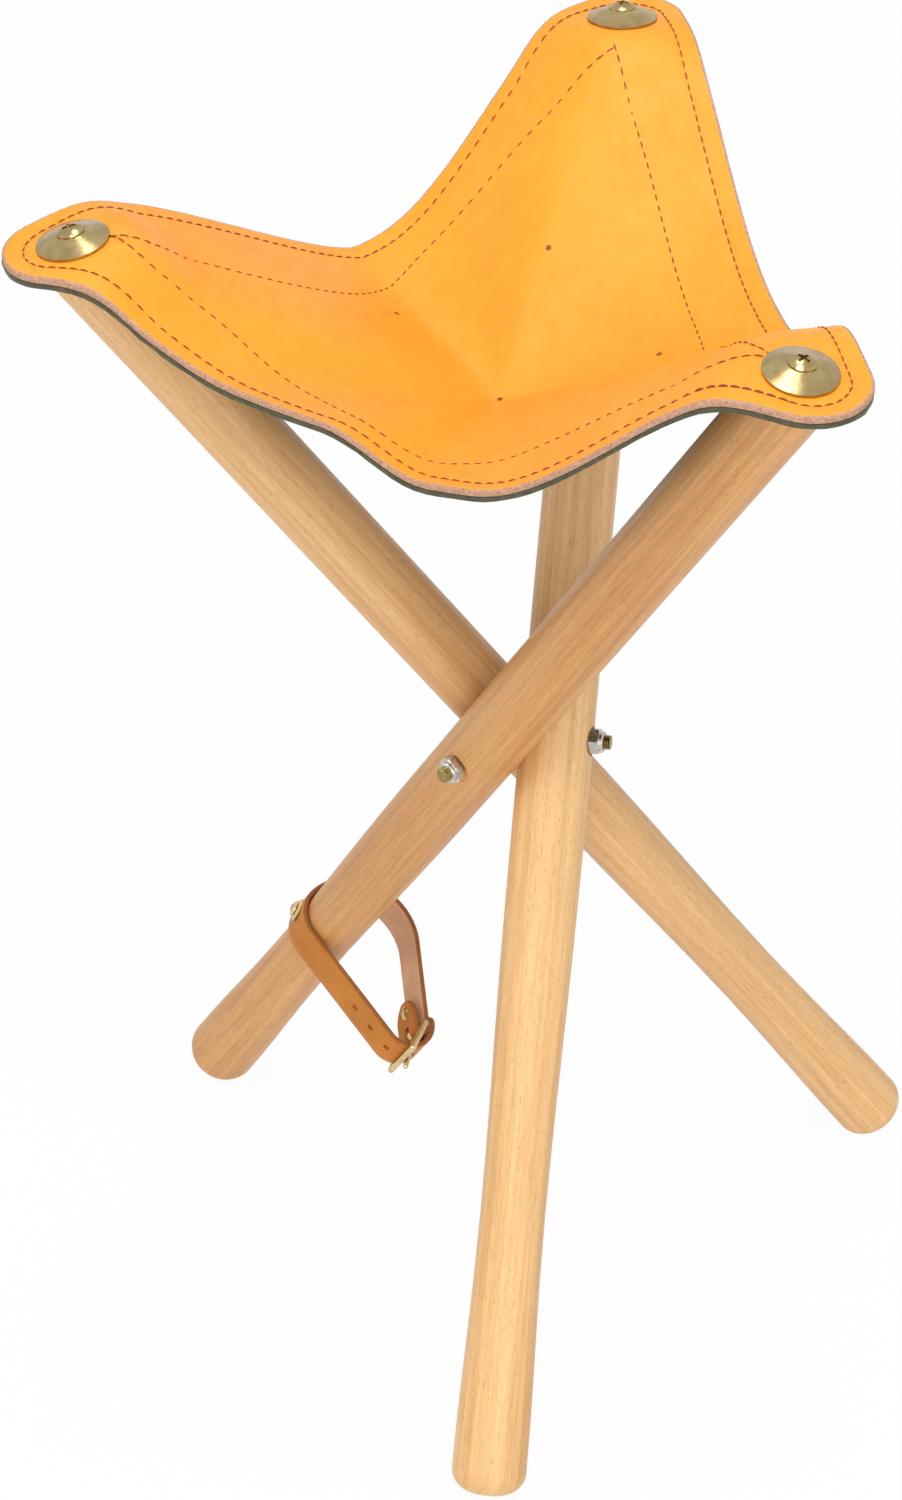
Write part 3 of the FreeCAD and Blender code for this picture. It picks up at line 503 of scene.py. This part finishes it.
def felt_finish(name, colour, dark):
    """Wool felt: matted fibres in slightly different shades."""
    material, surface = new_finish(name, Roughness=0.95, Sheen_Weight=0.25, Sheen_Roughness=0.5)
    place = object_place(material)
    fibres = speckle(place, 1900.0, 4.0, stretch=(1.0, 1.0, 0.6), roughness=0.65)
    clumps = speckle(place, 240.0, 2.0)
    feed(surface, "Base Color", tint(between(fibres * 0.65 + clumps * 0.35, 0.35, 0.65), colour, dark))
    dent(surface, fibres, 0.6, 0.0004)
    return material


olive_felt = felt_finish("olive_felt", paint(94, 90, 60), paint(54, 52, 34))
felt = make_panels("seat_felt", LEATHER_THICK + LAYER_GAP, FELT_THICK, rounding=0.0006, fray=0.0005,
                   finishes=[olive_felt] * 3)
for (side, half), piece in felt.items():
    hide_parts("seat_backing")
    bend_with_leg(piece, side, half)
    hang(piece)


# Seat leather: one hide of orange-yellow vegetable-tanned leather, smooth and a little glossy on
# its grain side, with a raw pinkish cut edge. Four small vent holes were punched through it in its
# making; each is drawn as a dark dot of painted shade, pressed in a little.
VENT_RADIUS = 0.0011
VENT_REACH = 0.061
VENT_ANGLES = (-72.0, 0.0, 60.0)
vents = [LOW_POINT] + [LOW_POINT + ray(EAR_ANGLES["front"] + angle) * VENT_REACH for angle in VENT_ANGLES]


def plan_place(material):
    """Each point's place on the seat's floor plan, which the panels keep when they bend."""
    tree = material.node_tree
    made = tree.nodes.new("ShaderNodeUVMap")
    made.uv_map = "plan"
    return Shade(tree, made.outputs["UV"])


def grain_leather(name):
    """The seat's grain side: fine pores, slow changes of tone and the vent holes as dots of painted shade."""
    material, surface = new_finish(name, Specular_IOR_Level=0.3)
    place = plan_place(material)
    slow = speckle(place, 22.0, 2.0)
    mottle = speckle(place, 150.0, 3.0)
    pores = place.node("ShaderNodeTexVoronoi", {"Vector": place, "Scale": 1500.0}, feature="SMOOTH_F1")
    hide = tint(between(slow * 0.6 + mottle * 0.4, 0.35, 0.65), paint(249, 163, 48), paint(245, 153, 38))
    # Painted shade: a dark dot at each vent hole stands for the shade inside the hole.
    vent_hole_shade = None
    for spot in vents:
        away = place.node("ShaderNodeVectorMath", {0: place, 1: (spot.x, spot.y, 0.0)}, output=1,
                          operation="DISTANCE")
        one = between(away, VENT_RADIUS * 0.75, VENT_RADIUS * 1.25, 1.0, 0.0)
        vent_hole_shade = one if vent_hole_shade is None else vent_hole_shade + one
    # The vent holes' painted shade turns the hide deep brown there.
    feed(surface, "Base Color", tint(vent_hole_shade, hide, paint(120, 72, 32)))
    feed(surface, "Roughness", between(mottle, 0.3, 0.7, 0.44, 0.54))
    dent(surface, pores * 0.5 + mottle * 0.5 - vent_hole_shade * 4.0, 0.10, 0.0003)
    return material


def raw_leather(name, colour, dark, scale):
    """Cut edge or flesh side: short pale fibres without a finish."""
    material, surface = new_finish(name, Roughness=0.85)
    place = object_place(material)
    fibres = speckle(place, scale, 4.0, roughness=0.6)
    feed(surface, "Base Color", tint(between(fibres, 0.35, 0.65), colour, dark))
    dent(surface, fibres, 0.5, 0.0003)
    return material


seat_grain = grain_leather("seat_grain")
seat_edge = raw_leather("seat_cut_edge", paint(208, 164, 136), paint(164, 120, 96), 1100.0)
seat_flesh = raw_leather("seat_flesh", paint(196, 160, 130), paint(170, 132, 104), 900.0)
leather = make_panels("seat_leather", 0.0, LEATHER_THICK, rounding=0.0008, fray=0.0001,
                      finishes=[seat_grain, seat_edge, seat_flesh])
for (side, half), piece in leather.items():
    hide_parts("seat_leather")
    bend_with_leg(piece, side, half)


# Seat stitching: dark red waxed thread in lock stitch. One row follows the edge all round, and
# three rows run from screw to screw; the outer row is sewn twice where it ends, near one ear.
STITCH_PITCH = 0.0044
STITCH_LENGTH = 0.0038
THREAD_WIDTH = 0.00062
THREAD_FLATNESS = 0.8
STITCH_LIFT = 0.25
STITCH_DRAW = 0.7
SEWN_TWICE = 0.030


def thread_finish(name):
    """Waxed thread, laid from fine strands."""
    material, surface = new_finish(name, Roughness=0.6)
    place = object_place(material)
    strands = speckle(place, 2600.0, 2.0)
    feed(surface, "Base Color", tint(between(strands, 0.3, 0.7), paint(158, 60, 26), paint(118, 40, 20)))
    dent(surface, strands, 0.5, 0.0002)
    return material


def one_stitch():
    """A single stitch, longest along X, its ends drawn down into the leather."""
    bpy.ops.object.select_all(action="DESELECT")
    bpy.ops.mesh.primitive_uv_sphere_add(segments=8, ring_count=8, radius=0.5, rotation=(0, math.pi / 2, 0))
    bpy.ops.object.transform_apply(location=False, rotation=True, scale=False)
    stitch = bpy.context.active_object
    stitch.scale = (STITCH_LENGTH, THREAD_WIDTH, THREAD_WIDTH * THREAD_FLATNESS)
    bpy.ops.object.transform_apply(location=False, rotation=False, scale=True)
    shape = np.array([vertex.co for vertex in stitch.data.vertices])
    from_middle = shape[:, 0] / (STITCH_LENGTH / 2)
    shape[:, 2] += THREAD_WIDTH * STITCH_LIFT - THREAD_WIDTH * STITCH_DRAW * from_middle ** 2
    faces = [tuple(face.vertices) for face in stitch.data.polygons]
    bpy.data.objects.remove(stitch)
    return shape, faces


def smooth_row(corners):
    """A smooth line on the floor plan near a few points, read from a curve."""
    curve = bpy.data.curves.new("stitch_row", "CURVE")
    curve.dimensions = "2D"
    curve.resolution_u = 24
    spline = curve.splines.new("NURBS")
    spline.points.add(len(corners) - 1)
    for point, (x, y) in zip(spline.points, corners):
        point.co = (x * MILLIMETRE, y * MILLIMETRE, 0.0, 1.0)
    spline.use_endpoint_u = True
    spline.order_u = 3
    holder = bpy.data.objects.new("stitch_row", curve)
    bpy.context.scene.collection.objects.link(holder)
    bpy.context.view_layer.update()
    mesh = bpy.data.meshes.new_from_object(holder.evaluated_get(bpy.context.evaluated_depsgraph_get()))
    row = [vertex.co.to_2d() for vertex in mesh.vertices]
    bpy.data.objects.remove(holder)
    bpy.data.meshes.remove(mesh)
    bpy.data.curves.remove(curve)
    return row


def walk(row, pitch, start=0.0):
    """Places and directions at an even pitch along a row of points."""
    steps = []
    ahead = start
    for first, second in zip(row, row[1:]):
        length = (second - first).length
        while ahead < length:
            steps.append((first.lerp(second, ahead / length), (second - first).normalized()))
            ahead += pitch
        ahead -= length
    return steps


def panel_at(spot):
    """The panel that a spot on the floor plan belongs to."""
    angle = (compass(spot.x, spot.y) - EAR_ANGLES["left"]) % 360
    limits = []
    for side in SIDES:
        ridge = EAR_ANGLES[side] - EAR_ANGLES["left"]
        limits.append((ridge, side, "near"))
        limits.append((ridge + STILL_TURN, side, "far"))
    return [(side, half) for limit, side, half in limits if angle >= limit][-1]


outer_row = [spot - normal * STITCH_INSET for spot, normal in RIM]
outer_row.append(outer_row[0])
# The rows from screw to screw, as places on the floor plan in millimetres.
SCREW_ROWS = [
    [(-126, -52), (-112, -59), (-99, -54), (-84, -56), (-66, -61), (-48, -66), (-20, -81), (2, -79),
     (32, -68), (60, -78), (104, -93), (118, -89), (126, -88)],
    [(-126, -52), (-114, -48), (-106, -29), (-90, -16), (-71, 4), (-56, 30), (-49, 58), (-41, 79),
     (-15, 101), (25, 131)],
    [(25, 131), (41, 104), (60, 65), (76, 32), (86, 9), (97, -30), (112, -78), (127, -86)],
]
rows = [walk(outer_row, STITCH_PITCH)] + [walk(smooth_row(row), STITCH_PITCH) for row in SCREW_ROWS]
sewn_again = outer_row[-2 - round(SEWN_TWICE / EDGE_STEP):]
sewn_again = [spot + (LOW_POINT - spot).normalized() * THREAD_WIDTH for spot in sewn_again]
rows.append(walk(sewn_again, STITCH_PITCH, STITCH_PITCH / 2))
stitch_shape, stitch_faces = one_stitch()
stitched = {key: ([], []) for key in leather}
for row in rows:
    for spot, direction in row:
        here = on_seat(spot)
        ahead = (on_seat(spot + direction * MILLIMETRE) - here).normalized()
        aside = (on_seat(spot + Vector((-direction.y, direction.x)) * MILLIMETRE) - here).normalized()
        up = ahead.cross(aside).normalized()
        turn = Matrix((ahead, up.cross(ahead), up)).transposed()
        points, faces = stitched[panel_at(spot)]
        first = len(points)
        points += [here + turn @ Vector(point) for point in stitch_shape]
        faces += [tuple(first + number for number in face) for face in stitch_faces]
red_thread = thread_finish("red_thread")
for (side, half), (points, faces) in stitched.items():
    mesh = bpy.data.meshes.new(panel_name("seat_stitches", side, half))
    mesh.from_pydata(points, [], faces)
    mesh.polygons.foreach_set("use_smooth", [True] * len(faces))
    mesh.materials.append(red_thread)
    piece = bpy.data.objects.new(mesh.name, mesh)
    bpy.context.scene.collection.objects.link(piece)
    bend_with_leg(piece, side, half)
    hang(leather[side, half])


# Cone washers and dome-headed screws: turned brass, polished, with the lathe's fine rings. They
# clamp the seat's ears to the leg tops.
BRASS = paint(180, 160, 114)
BRASS_DEEP = paint(154, 132, 88)
WASHER_RINGS = 0.0003
SCREW_RINGS = 0.0005


def turned_brass(name, middle, upward, ring_width):
    """Polished brass with fine rings round an axis."""
    material, surface = new_finish(name, Metallic=1.0)
    place = object_place(material)
    turn = upward.to_track_quat("Z", "Y").to_euler()
    local = place.node("ShaderNodeMapping", {"Vector": place, "Location": middle, "Rotation": turn},
                       vector_type="TEXTURE")
    flat = local.node("ShaderNodeVectorMath", {0: local, 1: (1.0, 1.0, 0.0)}, operation="MULTIPLY")
    radius = flat.node("ShaderNodeVectorMath", {0: flat}, output=1, operation="LENGTH")
    rings = radius.node("ShaderNodeTexNoise", {"W": radius, "Scale": 1.0 / ring_width, "Detail": 3.0},
                        noise_dimensions="1D")
    clouds = speckle(place, 180.0, 3.0)
    feed(surface, "Base Color", tint(between(clouds, 0.3, 0.7), BRASS, BRASS_DEEP))
    feed(surface, "Roughness", between(rings, 0.3, 0.7, 0.14, 0.24))
    dent(surface, rings, 0.3, 0.0001)
    return material


for side in SIDES:
    spot, upward = EARS[side]
    wear(f"cone_washer_{side}", turned_brass(f"washer_brass_{side}", spot, upward, WASHER_RINGS))
    wear(f"seat_screw_{side}", turned_brass(f"screw_brass_{side}", spot, upward, SCREW_RINGS))


# Strap: one strip of tan leather, screwed to the left leg. It goes up the outer side, over the
# leg, down the back to its buckle, and turns up again under it; the tail has punched holes.
strap_origin = Vector(joints["strap_swing"]["pos_m"])
strap_axis = Vector(joints["strap_swing"]["axis"]).normalized()
strap_out = arms["left"]
strap_down = strap_out.cross(strap_axis).normalized()
STRAP_WIDTH = 0.0195
STRAP_THICK = 0.002
WRAP_RADIUS = 0.01515
STRAP_DROP = 0.056
TURN_RADIUS = 0.011
BACK_RADIUS = 0.028
LEAVE_ANGLE = 172.0
BAR_ANGLE = -40.0
BAR_REACH = 0.0062
FOLD_RADIUS = 0.0025
TAIL_ANGLE = -45.0
TAIL_LENGTH = 0.008
FLAP_LENGTH = 0.016
END_ROUND = 0.0085
END_SHARE = 0.3
STRAP_STEP = 0.0012
STRAP_FLANK = 0.0006
STRAP_BEVEL = 0.0002


def strap_point(down, out, along):
    """A point in the strap's own directions: down from the leg's middle, outwards, along the leg."""
    return strap_origin + strap_down * down + strap_out * out + strap_axis * along


def circle_point(centre, radius, angle):
    """Point of a circle in the strap's plane."""
    return centre + ray(angle) * radius


def strap_line():
    """The strip's middle line and its outward directions, at an even step."""
    turn_centre = Vector((STRAP_DROP, WRAP_RADIUS - TURN_RADIUS))
    back_centre = circle_point(Vector((0, 0)), WRAP_RADIUS - BACK_RADIUS, LEAVE_ANGLE)
    bar = circle_point(turn_centre, BAR_REACH, BAR_ANGLE)
    gap = bar - back_centre
    lean = math.degrees(math.acos((BACK_RADIUS - FOLD_RADIUS) / gap.length))
    meet = math.degrees(math.atan2(gap.y, gap.x)) - lean
    arcs = [(turn_centre, TURN_RADIUS, TAIL_ANGLE, 90.0), (Vector((0, 0)), WRAP_RADIUS, 90.0, LEAVE_ANGLE),
            (back_centre, BACK_RADIUS, LEAVE_ANGLE, meet + 360), (bar, FOLD_RADIUS, meet, meet + 180)]
    line = []

    def run(start, finish, outward):
        count = max(1, round((finish - start).length / STRAP_STEP))
        line.extend((start.lerp(finish, step / count), outward) for step in range(count))

    first = circle_point(*arcs[0][:3])
    run(first - ray(TAIL_ANGLE + 90) * TAIL_LENGTH, first, ray(TAIL_ANGLE))
    for number, (centre, radius, start, finish) in enumerate(arcs):
        count = max(8, round(math.radians(finish - start) * radius / STRAP_STEP))
        for step in range(count):
            angle = start + (finish - start) * step / count
            line.append((circle_point(centre, radius, angle), ray(angle)))
        leave = circle_point(centre, radius, finish)
        if number + 1 < len(arcs):
            following = circle_point(*arcs[number + 1][:3])
            if (following - leave).length > STRAP_STEP:
                run(leave, following, ray(finish))
        else:
            run(leave, leave + ray(finish + 90) * FLAP_LENGTH, ray(finish))
    return line, bar


def strip_section():
    """The strip's section, once round: distances outwards and across, and which finish starts there."""
    half = STRAP_WIDTH / 2
    flat = half - STRAP_FLANK
    top = STRAP_THICK / 2
    across = [-flat, -flat * 0.6, -flat * 0.2, flat * 0.2, flat * 0.6]
    flank = [(top, flat), (top - STRAP_BEVEL, half - STRAP_BEVEL), (0.0, half),
             (STRAP_BEVEL - top, half - STRAP_BEVEL)]
    ring = [(top, place, 0) for place in across] + [(lift, place, 1) for lift, place in flank]
    ring += [(-top, -place, 2) for place in across] + [(-lift, -place, 1) for lift, place in flank]
    return ring


def strap_finish(name, colour, dark, rough, scale):
    """The strap's leather, with uneven dye along its length."""
    material, surface = new_finish(name, Specular_IOR_Level=0.25)
    place = object_place(material)
    dye = speckle(place, 60.0, 3.0)
    pores = speckle(place, scale, 3.0)
    feed(surface, "Base Color", tint(between(dye * 0.6 + pores * 0.4, 0.35, 0.68), colour, dark))
    feed(surface, "Roughness", between(pores, 0.3, 0.7, rough, rough + 0.12))
    dent(surface, pores, 0.35, 0.0003)
    return material


strap_path, buckle_bar = strap_line()
section = strip_section()
points = []
for number, (place, outward) in enumerate(strap_path):
    from_end = min(number, len(strap_path) - 1 - number) * STRAP_STEP
    share = 1.0
    if from_end < END_ROUND:
        share = max(END_SHARE, math.sqrt(1 - (1 - from_end / END_ROUND) ** 2))
    for lift, across, _ in section:
        spot = place + outward * lift
        points.append(strap_point(spot.x, spot.y, across * share))
ring = len(section)
faces = [tuple(range(ring))]
zones = [1]
for number in range(len(strap_path) - 1):
    for corner in range(ring):
        after = (corner + 1) % ring
        here, there = number * ring, (number + 1) * ring
        faces.append((here + corner, there + corner, there + after, here + after))
        zones.append(section[corner][2])
faces.append(tuple(reversed(range((len(strap_path) - 1) * ring, len(strap_path) * ring))))
zones.append(1)
mesh = bpy.data.meshes.new("strap_strip")
mesh.from_pydata(points, [], faces)
for finish in (strap_finish("strap_grain", paint(206, 130, 34), paint(182, 106, 24), 0.36, 900.0),
               strap_finish("strap_edge", paint(164, 104, 52), paint(132, 80, 40), 0.6, 1300.0),
               strap_finish("strap_flesh", paint(234, 192, 158), paint(210, 166, 132), 0.85, 1100.0)):
    mesh.materials.append(finish)
mesh.polygons.foreach_set("material_index", zones)
strip = bpy.data.objects.new("strap_strip", mesh)
bpy.context.scene.collection.objects.link(strip)
bpy.ops.object.select_all(action="DESELECT")
bpy.context.view_layer.objects.active = strip
strip.select_set(True)
bpy.ops.object.mode_set(mode="EDIT")
bpy.ops.mesh.select_all(action="SELECT")
bpy.ops.mesh.normals_make_consistent(inside=False)
bpy.ops.object.mode_set(mode="OBJECT")
HOLE_DROPS = (0.0585, 0.0475, 0.0365)
HOLE_RADIUS = 0.0016
HOLE_DEPTH = 0.006
BAR_SLOT_RADIUS = 0.0044
PRONG_SLOT = 0.0044
PRONG_ANGLE = 55.5
PRONG_REACH = 0.0105
PRONG_HOLE_RADIUS = 0.002
PRONG_HOLE_DEPTH = 0.009
cutters = []


def add_cutter(middle, direction, radius, depth):
    """A round punch for a hole in the strap."""
    bpy.ops.object.select_all(action="DESELECT")
    turn = direction.to_track_quat("Z", "Y").to_euler()
    bpy.ops.mesh.primitive_cylinder_add(vertices=24, radius=radius, depth=depth, location=middle,
                                        rotation=turn)
    cutters.append(bpy.context.active_object)


for drop in HOLE_DROPS:
    add_cutter(strap_point(drop, WRAP_RADIUS, 0.0), strap_out, HOLE_RADIUS, HOLE_DEPTH)
prong_way = ray(PRONG_ANGLE)
prong_exit = buckle_bar + prong_way * PRONG_REACH
add_cutter(strap_point(prong_exit.x, prong_exit.y, 0.0), strap_down * prong_way.x + strap_out * prong_way.y,
           PRONG_HOLE_RADIUS, PRONG_HOLE_DEPTH)
add_cutter(strap_point(buckle_bar.x, buckle_bar.y, 0.0), strap_axis, BAR_SLOT_RADIUS, PRONG_SLOT)
for cutter in cutters:
    punch = strip.modifiers.new("punch", "BOOLEAN")
    punch.operation = "DIFFERENCE"
    punch.solver = "EXACT"
    punch.object = cutter
    bpy.ops.object.select_all(action="DESELECT")
    bpy.context.view_layer.objects.active = strip
    strip.select_set(True)
    bpy.ops.object.modifier_apply(modifier="punch")
    bpy.data.objects.remove(cutter)
bpy.ops.object.shade_smooth_by_angle(angle=math.radians(50))
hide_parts("strap")
strip_length = sum((second[0] - first[0]).length for first, second in zip(strap_path, strap_path[1:]))
strap_point(-0.010, 0.0, 0.0)
strap_point(0.014, 0.0, 0.0)
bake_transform(strip)


# Strap fittings: a small brass cup washer and screw on the leg, a rivet through the flap, and a
# buckle of bent brass wire with its prong.
def plain_brass(name, rough):
    """Brass plate with faint clouds and handling marks."""
    material, surface = new_finish(name, Metallic=1.0)
    place = object_place(material)
    clouds = between(speckle(place, 320.0, 3.0), 0.3, 0.7)
    feed(surface, "Base Color", tint(clouds, paint(226, 204, 156), paint(198, 174, 122)))
    feed(surface, "Roughness", between(speckle(place, 1200.0), 0.3, 0.7, rough, rough + 0.14))
    dent(surface, speckle(place, 1500.0, 1.0), 0.12, 0.0001)
    return material


strap_brass = plain_brass("strap_brass", 0.2)
for name in ("strap_cup_washer", "strap_screw", "strap_rivet", "buckle_frame", "buckle_prong"):
    wear(name, strap_brass)


# Floor and light: a white paper floor under soft studio lamps. The paper and the room show white
# to the camera and in the metal, and the floor keeps the stool's shadow.
FLOOR_SIZE = 14.0
WHITE = (1.0, 1.0, 1.0, 1.0)
PAPER_COLOUR = (0.86, 0.86, 0.86, 1.0)
PAPER_GLOW = 0.95
bpy.ops.object.select_all(action="DESELECT")
bpy.ops.mesh.primitive_plane_add(size=FLOOR_SIZE)
floor = bpy.context.active_object
floor.name = "floor"
paper = bpy.data.materials.new("paper")
paper.use_nodes = True
paper_nodes = paper.node_tree.nodes
paper_nodes.clear()
seen = Shade(paper.node_tree, paper_nodes.new("ShaderNodeLightPath").outputs["Is Camera Ray"])
mirrored = Shade(paper.node_tree, seen.socket.node.outputs["Is Glossy Ray"])
matt = seen.node("ShaderNodeBsdfDiffuse", {"Color": PAPER_COLOUR})
glow = seen.node("ShaderNodeEmission", {"Color": WHITE, "Strength": 1.0})
glow_share = seen.node("ShaderNodeMath", {0: seen, 1: mirrored}, operation="MAXIMUM") * PAPER_GLOW
mixed = seen.node("ShaderNodeMixShader", {0: glow_share, 1: matt, 2: glow})
paper_output = paper_nodes.new("ShaderNodeOutputMaterial")
paper.node_tree.links.new(mixed.socket, paper_output.inputs["Surface"])
floor.data.materials.append(paper)

room = bpy.data.worlds.new("room")
bpy.context.scene.world = room
room.use_nodes = True
room_nodes = room.node_tree.nodes
room_nodes.clear()
looked_at = Shade(room.node_tree, room_nodes.new("ShaderNodeLightPath").outputs["Is Camera Ray"])
reflected = Shade(room.node_tree, looked_at.socket.node.outputs["Is Glossy Ray"])
ROOM_LIGHT = 0.42
white_share = looked_at.node("ShaderNodeMath", {0: looked_at, 1: reflected}, operation="MAXIMUM")
room_strength = between(white_share, 0.0, 1.0, ROOM_LIGHT, 1.0)
backdrop = looked_at.node("ShaderNodeBackground", {"Color": WHITE, "Strength": room_strength})
room_output = room_nodes.new("ShaderNodeOutputWorld")
room.node_tree.links.new(backdrop.socket, room_output.inputs["Surface"])


def softbox(name, place, aim, size, power):
    """A square studio lamp."""
    lamp = bpy.data.lights.new(name, "AREA")
    lamp.size = size
    lamp.energy = power
    holder = bpy.data.objects.new(name, lamp)
    holder.location = place
    holder.rotation_euler = (Vector(aim) - Vector(place)).to_track_quat("-Z", "Y").to_euler()
    bpy.context.scene.collection.objects.link(holder)


softbox("key_lamp", (0.15, -0.85, 2.4), (0.0, 0.0, 0.35), 1.0, 22.0)
softbox("top_lamp", (0.0, 0.35, 2.3), (0.0, 0.0, 0.4), 0.7, 10.0)
softbox("front_lamp", (0.5, -2.4, 1.2), (0.0, 0.0, 0.25), 1.4, 20.0)
softbox("left_lamp", (-2.0, -0.9, 1.3), (0.0, 0.0, 0.3), 1.2, 8.0)
softbox("right_lamp", (2.0, -0.8, 1.3), (0.0, 0.0, 0.3), 1.2, 7.0)


# Camera: a long lens above and a little to the right of the front foot, as in the photograph.
CAMERA_PLACE = Vector((0.3307, -1.3166, 1.2865))
CAMERA_AHEAD = Vector((-0.2025, 0.7705, -0.6044)).normalized()
CAMERA_ROLL = math.radians(-1.5)
FOCAL_LENGTH = 99.51
SENSOR_WIDTH = 36.0
level = CAMERA_AHEAD.cross(Vector((0.0, 0.0, 1.0))).normalized()
upright = level.cross(CAMERA_AHEAD)
camera_right = level * math.cos(CAMERA_ROLL) + upright * math.sin(CAMERA_ROLL)
camera_up = camera_right.cross(CAMERA_AHEAD)
lens = bpy.data.cameras.new("camera")
lens.lens = FOCAL_LENGTH
lens.sensor_width = SENSOR_WIDTH
camera = bpy.data.objects.new("camera", lens)
turn = Matrix((camera_right, camera_up, -CAMERA_AHEAD)).transposed()
camera.matrix_world = Matrix.Translation(CAMERA_PLACE) @ turn.to_4x4()
bpy.context.scene.collection.objects.link(camera)
bpy.context.scene.camera = camera
bpy.context.scene.view_settings.view_transform = "Standard"
